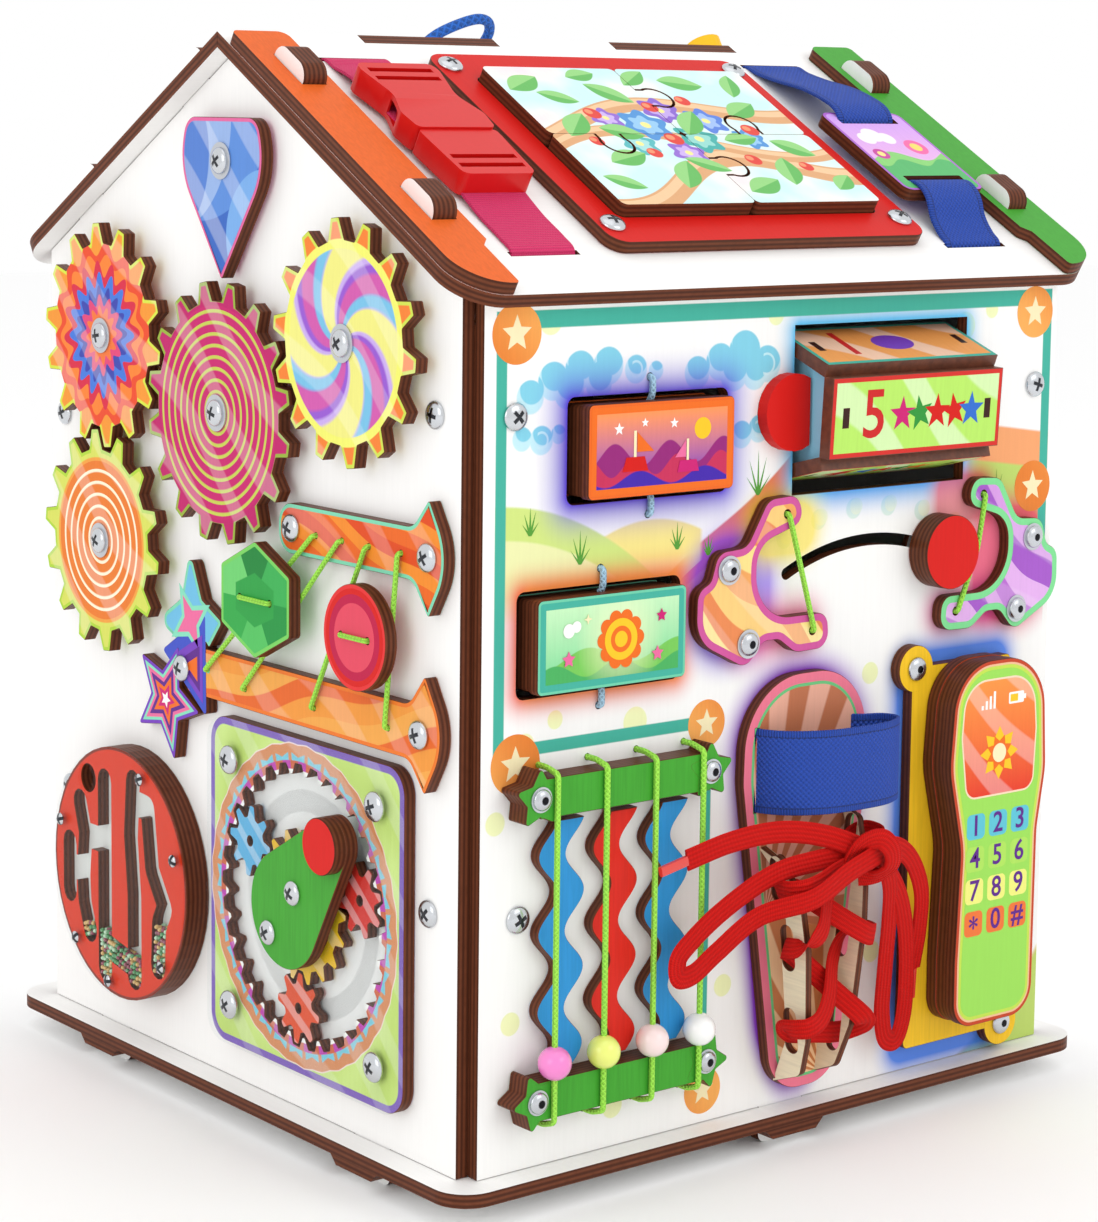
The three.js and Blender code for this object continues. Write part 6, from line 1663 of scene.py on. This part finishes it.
for row, (digits, hue) in enumerate(key_rows):
    key_ink = ink("ink_key_row_" + str(row + 1), hue)
    for column, digit in enumerate(digits):
        cx, cy = 273.4 + 14.6 * column, 117.1 - 15.2 * row
        toy.inlay(rounded_box(cx - 5.9, cx + 5.9, cy - 5.9, cy + 5.9, 2.6), PHONE_TOP + 0.15, key_ink)
        drop = -2.2 if digit == "*" else 0.0
        toy.text(digit, 13.5, cx, cy + drop, PHONE_TOP + 0.22, inks["plum"])
toy.build()

# Roof: puzzle, strap with its buckle, band with its card, rope handle
toy = Toy("puzzle_rim", ROOF, "house", ("puzzle_frame",))
well = rounded_box(97.4, 251.1, 37.4, 155.1, 4)
toy.plate(rounded_box(82, 268, 18, 176, 9), 6.3, 12, red_ply, [well])
for x, s, turn in ((90, 32, 0.2), (260, 32, 0.9), (90, 165, 1.3), (260, 165, 0.6)):
    screw(toy, x, s, 12, 6.0, 3.2, turn)
toy.build()

LEAVES = [(112, 140, 12, 5, 0.5), (124, 128, 10, 4, -0.4), (118, 104, 13, 5, 0.8), (140, 98, 11, 5, -0.3),
          (128, 76, 12, 5, 0.3), (152, 62, 13, 5, 1.0), (170, 70, 11, 4, -0.5), (190, 52, 12, 5, 0.4),
          (214, 64, 12, 5, 1.2), (232, 84, 11, 5, -0.6), (226, 118, 12, 5, 0.5), (236, 140, 11, 4, 1.1),
          (206, 142, 12, 5, -0.2), (180, 146, 11, 4, 0.6), (156, 132, 12, 5, -0.7), (186, 106, 13, 5, 0.9),
          (206, 92, 10, 4, 0.1), (150, 148, 9, 4, 0.2), (112, 56, 10, 4, -0.5), (240, 54, 9, 4, 0.7)]
FRUIT = [(134, 114, 4.6), (166, 92, 5.0), (200, 74, 4.4), (218, 100, 4.8), (172, 120, 4.4), (146, 80, 4.0),
         (196, 126, 4.2), (120, 90, 3.8), (228, 68, 3.8)]


BLOSSOMS = [(158, 104, 12, rgb(84, 150, 214), rgb(150, 200, 236)),
            (181, 92, 11, rgb(72, 176, 170), rgb(150, 216, 206)),
            (176, 117, 10, rgb(140, 104, 206), rgb(194, 168, 232)),
            (197, 108, 10, rgb(92, 132, 220), rgb(160, 190, 240)),
            (143, 88, 9, rgb(90, 186, 190), rgb(168, 222, 220)),
            (166, 80, 9, rgb(150, 110, 210), rgb(204, 178, 236)),
            (139, 110, 8, rgb(150, 110, 210), rgb(204, 178, 236)),
            (212, 92, 8, rgb(84, 150, 214), rgb(150, 200, 236))]


def orchard(look, x, y, z, colour):
    cloud = look.noise(28.0, 2.0)
    face = look.mix((cloud - 0.42).math("MULTIPLY", 3.0, clamp=True), rgb(206, 238, 240), rgb(252, 250, 236))
    face = look.mix((cloud - 0.56).math("MULTIPLY", 4.0, clamp=True), face, rgb(248, 222, 232))
    for base, swing, period, shift, breadth in ((60, 14, 150, 0.2, 7.4), (112, 12, 190, 2.6, 6.0),
                                                (86, 20, 230, 4.4, 4.6)):
        line = (x * (TAU / period) + shift).sin() * swing + base + (x - 174.0) * 0.16
        limb = (breadth - (y - line).abs()).inside(0.4)
        face = look.mix(limb, face, rgb(222, 168, 120))
        face = look.mix((breadth * 0.4 - (y - line - breadth * 0.4).abs()).inside(0.4), face,
                        rgb(240, 200, 156))
    for cx, cy, radius, hue, heart in BLOSSOMS:
        dx, dy = x - cx, y - cy
        petals = (dy.angle(dx) * 6.0).sin() * 0.16 * radius + radius
        reach = (dx * dx + dy * dy).root()
        face = look.mix((petals - reach).inside(0.4), face, hue)
        face = look.mix((petals * 0.62 - reach).inside(0.4), face, heart)
        face = look.mix((radius * 0.22 - reach).inside(0.3), face, rgb(252, 236, 150))
    for cx, cy, long, wide, lean in LEAVES:
        dx, dy = x - cx, y - cy
        long, wide = long * 1.25, wide * 1.3
        along = dx * math.cos(lean) + dy * math.sin(lean)
        over = dy * math.cos(lean) - dx * math.sin(lean)
        shape = 1.0 - (along * along / (long * long * 0.7) + over.abs() / wide)
        face = look.mix(shape.inside(0.06), face, rgb(104, 186, 96))
        face = look.mix((shape.least(over / wide + 0.02)).inside(0.05), face, rgb(150, 212, 130))
    for cx, cy, radius in FRUIT:
        face = look.mix((radius - radius_from(x, y, cx, cy)).inside(0.4), face, rgb(226, 70, 60))
        spot = (radius * 0.45 - radius_from(x, y, cx - 1.2, cy + 1.4)).inside(0.6)
        face = look.mix(spot, face, rgb(250, 150, 110))
    return face


puzzle_look = board("puzzle_print", PAPER, orchard, side=ROOF, grain=0.03)
for corner in ("upper_left", "upper_right", "lower_left", "lower_right"):
    dress("puzzle_" + corner, puzzle_look)

toy = Toy("webbing_cloth", ROOF, "house", ("webbing",), smooth=50)
web_line = [(184, -10), (181.6, 0.5), (178.6, 6.2), (170, 7.3), (160, 9.4), (146, 10.6), (104, 10.4),
            (74, 10.2),
            (58, 8.4), (46, 7.3), (30, 7.1), (22, 6.2), (19.6, 0.5), (18, -10)]
toy.band(curve_through(web_line, 10), 1.4, 31, 65, magenta_web)
toy.build()
plastic = Look("buckle_plastic", 0.34, coat=0.08)
plastic.shader.inputs["Specular IOR Level"].default_value = 0.3
plastic.paint(plastic.shade(rgb(216, 20, 18), plastic.noise(400.0) * 0.08))
plastic.bump(plastic.noise(2500.0), 0.05, 0.0001)


def softened(node, look, width):
    """A moulded CAD piece whose edges are rounded by modifiers; its own mesh stays as packed."""
    dress(node, look)
    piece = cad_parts[node]
    weld = piece.modifiers.new("weld", "WELD")
    weld.merge_threshold = 0.00001
    bevel = piece.modifiers.new("soft_edges", "BEVEL")
    bevel.width = width * MM
    bevel.segments = 3
    bevel.limit_method = "ANGLE"
    bevel.angle_limit = math.radians(35)
    bevel.harden_normals = True


softened("buckle_socket", plastic, 0.7)
softened("buckle_plug", plastic, 0.6)

toy = Toy("card_board", ROOF, "house", ("strap_card",))
card = rounded_box(274, 326, 46, 116, 5)
card_slots = [rounded_box(281.2, 318.8, s - 2.4, s + 2.4, 0.8) for s in (108, 56)]


def card_print(look, x, y, z, colour):
    face = look.mix(((y - 46.0) / 70.0).math("ADD", 0.0, clamp=True), rgb(246, 190, 226), rgb(206, 160, 240))
    for base, swing, period, hue in ((76, 4, 40, rgb(140, 210, 120)), (70, 3, 26, rgb(90, 184, 110))):
        face = look.mix(((x * (TAU / period)).sin() * swing + base - y).inside(0.5), face, hue)
    for cx, cy, radius, hue in ((286, 92, 5, rgb(250, 240, 250)), (292, 95, 6, rgb(250, 240, 250)),
                                (299, 92, 5, rgb(250, 240, 250)), (312, 84, 6.5, rgb(240, 110, 170)),
                                (312, 84, 3.4, rgb(250, 220, 110)), (284, 78, 4.5, rgb(200, 70, 160)),
                                (284, 78, 2.2, rgb(250, 230, 140))):
        face = look.mix((radius - radius_from(x, y, cx, cy)).inside(0.4), face, hue)
    return face


toy.plate(card, 12.5, 18.5, board("card_rim", rgb(176, 104, 206)), card_slots)
toy.inlay(shrunk(card, 1.8), 18.5, board("card_print", PINK, card_print, edges=False), card_slots)
toy.build()
toy = Toy("card_band_cloth", ROOF, "house", ("card_strap",), smooth=50)
band_line = [(186, -10), (183.6, 0.5), (180.6, 6.0), (172, 7.6), (158, 11.5), (140, 17.5), (126, 20.4),
             (116, 21.0),
             (110.5, 18.8), (107, 13.5), (101, 10.9), (92, 10.2), (72, 10.2), (63, 10.9), (57.5, 13.5),
             (53.5, 18.4),
             (48, 19.7), (41, 17.6), (33, 11.0), (25, 7.5), (19.4, 6.1), (16.6, 0.5), (15, -10)]
toy.band(curve_through(band_line, 8), 1.6, 282, 318, basket("card_webbing", STRAP_BLUE, 282, 318))
toy.build()

ROPE = [(238, 178, -12), (238, 178, -2), (238, 178, 6), (236.5, 180, 11), (229, 185, 16.5), (216, 189.3, 21),
        (203, 190.5, 23.8), (195, 187, 24), (191, 180.5, 22.5), (191.5, 174, 20), (196.5, 170.2, 16.5),
        (203.5, 171.5, 13.8), (209.5, 175, 11), (212, 178, 6.5), (212, 178, -3), (212, 178, -12)]
rope_look = braid("rope_blue", rgb(28, 106, 208), pitch=4.2, sides=1.6, depth=0.0009)
rope_line = curve_through(ROPE, 8)
toy = Toy("rope_loop", BACK_ROOF, "house", ("rope_handle",), smooth=60)
toy.cord(rope_line, 2.5, rope_look, 20)
rope = toy.build()
rope_path = in_row(BACK_ROOF, rope_line)

# Screws of the walls and printed discs on the front
toy = Toy("wall_screws_front", FRONT, "house")
for x, y, turn in ((22.2, 317.5, 0.8), (329.8, 316.1, 0.3), (26.0, 108.0, 1.1), (329.0, 108.0, 0.5)):
    screw(toy, x, y, 0.05, 6.0, 3.0, turn)
toy.build()
toy = Toy("wall_screws_gable", GABLE, "house")
for x, y, turn in ((148.3, 317.4, 0.2), (145.9, 109.0, 0.7), (-152.8, 292.6, 1.2), (-150, 109.0, 0.4)):
    screw(toy, x, y, 0.05, 6.0, 3.0, turn)
toy.build()
for name, side, reach in (("back", BACK, 150.0), ("right", RIGHT, 148.0)):
    toy = Toy("wall_screws_" + name, side, "house")
    for x, y, turn in ((-reach, 317, 0.2), (reach, 317, 0.7), (-reach, 109, 1.2), (reach, 109, 0.4)):
        place = x + (175 if name == "back" else 0)
        screw(toy, place, y, 0.05, 6.0, 3.0, turn)
    toy.build()

toy = Toy("front_prints", FRONT, "house")
ball_ink = board("print_ball", ORANGE, lambda look, x, y, z, colour: look.mix(
    ((x + y) * 0.05).sin() * 0.5 + 0.5, rgb(232, 130, 52), rgb(250, 176, 92)), edges=False)
for x, y, radius in ((22.8, 351.2, 12.6), (329.0, 349.9, 12.0), (330.6, 268.0, 12.0), (24.2, 173.5, 12.8),
                     (128.8, 178.5, 10.5),
                     (130.1, 14.6, 10.5)):
    toy.inlay(circle(x, y, radius, 64), 0.02, ball_ink)
    toy.inlay(star(x, y, 5, radius * 0.62, radius * 0.28), 0.09, inks["cream"])
grass_ink = ink("ink_grass", rgb(90, 160, 60))
for x, y, size in ((30.6, 268, 9), (57.1, 254, 11), (110.3, 256, 9), (156.2, 276, 15), (306, 262, 12),
                   (128, 252, 7)):
    for index, (lean, reach) in enumerate(((-0.8, 0.8), (-0.4, 1.1), (0.0, 1.3), (0.35, 1.15), (0.8, 0.85))):
        tip = (x + math.sin(lean) * size * reach * 0.8, y + math.cos(lean) * size * reach)
        blade = [(x - 0.7, y), (x + 0.7, y), ((x + tip[0]) / 2 + 0.4, (y + tip[1]) / 2), tip]
        toy.inlay(blade, 0.02 + 0.01 * index, grass_ink)
toy.build()

# Stage, light and camera
floor_mesh = bpy.data.meshes.new("floor")
floor_mesh.from_pydata([(-6, -6, 0), (6, -6, 0), (6, 6, 0), (-6, 6, 0)], [], [(0, 1, 2, 3)])
floor = bpy.data.objects.new("floor", floor_mesh)
bpy.context.scene.collection.objects.link(floor)
floor_look = Look("floor_paper", 0.85)
floor_look.paint((0.98, 0.98, 0.98, 1.0))
floor_look.shader.inputs["Specular IOR Level"].default_value = 0.1
floor_mesh.materials.append(floor_look.material)

world = bpy.data.worlds.new("studio")
bpy.context.scene.world = world
world.use_nodes = True
background = world.node_tree.nodes["Background"]
background.inputs["Color"].default_value = (1.0, 1.0, 1.0, 1.0)
background.inputs["Strength"].default_value = 1.0


def softbox(name, place, target, size, power):
    light = bpy.data.lights.new(name, "AREA")
    light.shape = "RECTANGLE"
    light.size, light.size_y = size
    light.energy = power
    lamp = bpy.data.objects.new(name, light)
    bpy.context.scene.collection.objects.link(lamp)
    lamp.location = place
    lamp.rotation_euler = (Vector(target) - Vector(place)).to_track_quat("-Z", "Y").to_euler()


MIDDLE = (0.0, 0.0, 0.25)
softbox("softbox_front", (0.7, -2.2, 1.6), MIDDLE, (1.6, 1.2), 7.0)
softbox("softbox_left", (-2.4, -0.6, 1.1), MIDDLE, (1.4, 1.4), 7.0)
softbox("softbox_top", (-0.3, -0.4, 2.6), MIDDLE, (2.0, 2.0), 5.0)

scene = bpy.context.scene
scene.view_settings.view_transform = "Standard"
scene.view_settings.look = "None"

AZIMUTH, ELEVATION, ROLL = math.radians(-38.798), math.radians(6.816), math.radians(0.6946)
forward = Vector((-math.sin(AZIMUTH) * math.cos(ELEVATION), math.cos(AZIMUTH) * math.cos(ELEVATION),
                  -math.sin(ELEVATION)))
level_right = Vector((math.cos(AZIMUTH), math.sin(AZIMUTH), 0.0))
level_up = level_right.cross(forward)
right = math.cos(ROLL) * level_right + math.sin(ROLL) * level_up
up = -math.sin(ROLL) * level_right + math.cos(ROLL) * level_up
camera_data = bpy.data.cameras.new("camera")
camera = bpy.data.objects.new("camera", camera_data)
scene.collection.objects.link(camera)
turned = Matrix((right, up, -forward)).transposed().to_4x4()
turned.translation = Vector((-0.905, -1.13285, 0.4605))
camera.matrix_world = turned
camera_data.sensor_fit = "HORIZONTAL"
camera_data.sensor_width = 36.0
camera_data.lens = 100.066
camera_data.shift_x = -0.01006
camera_data.shift_y = -0.13056
camera_data.clip_start, camera_data.clip_end = 0.05, 30.0
scene.camera = camera
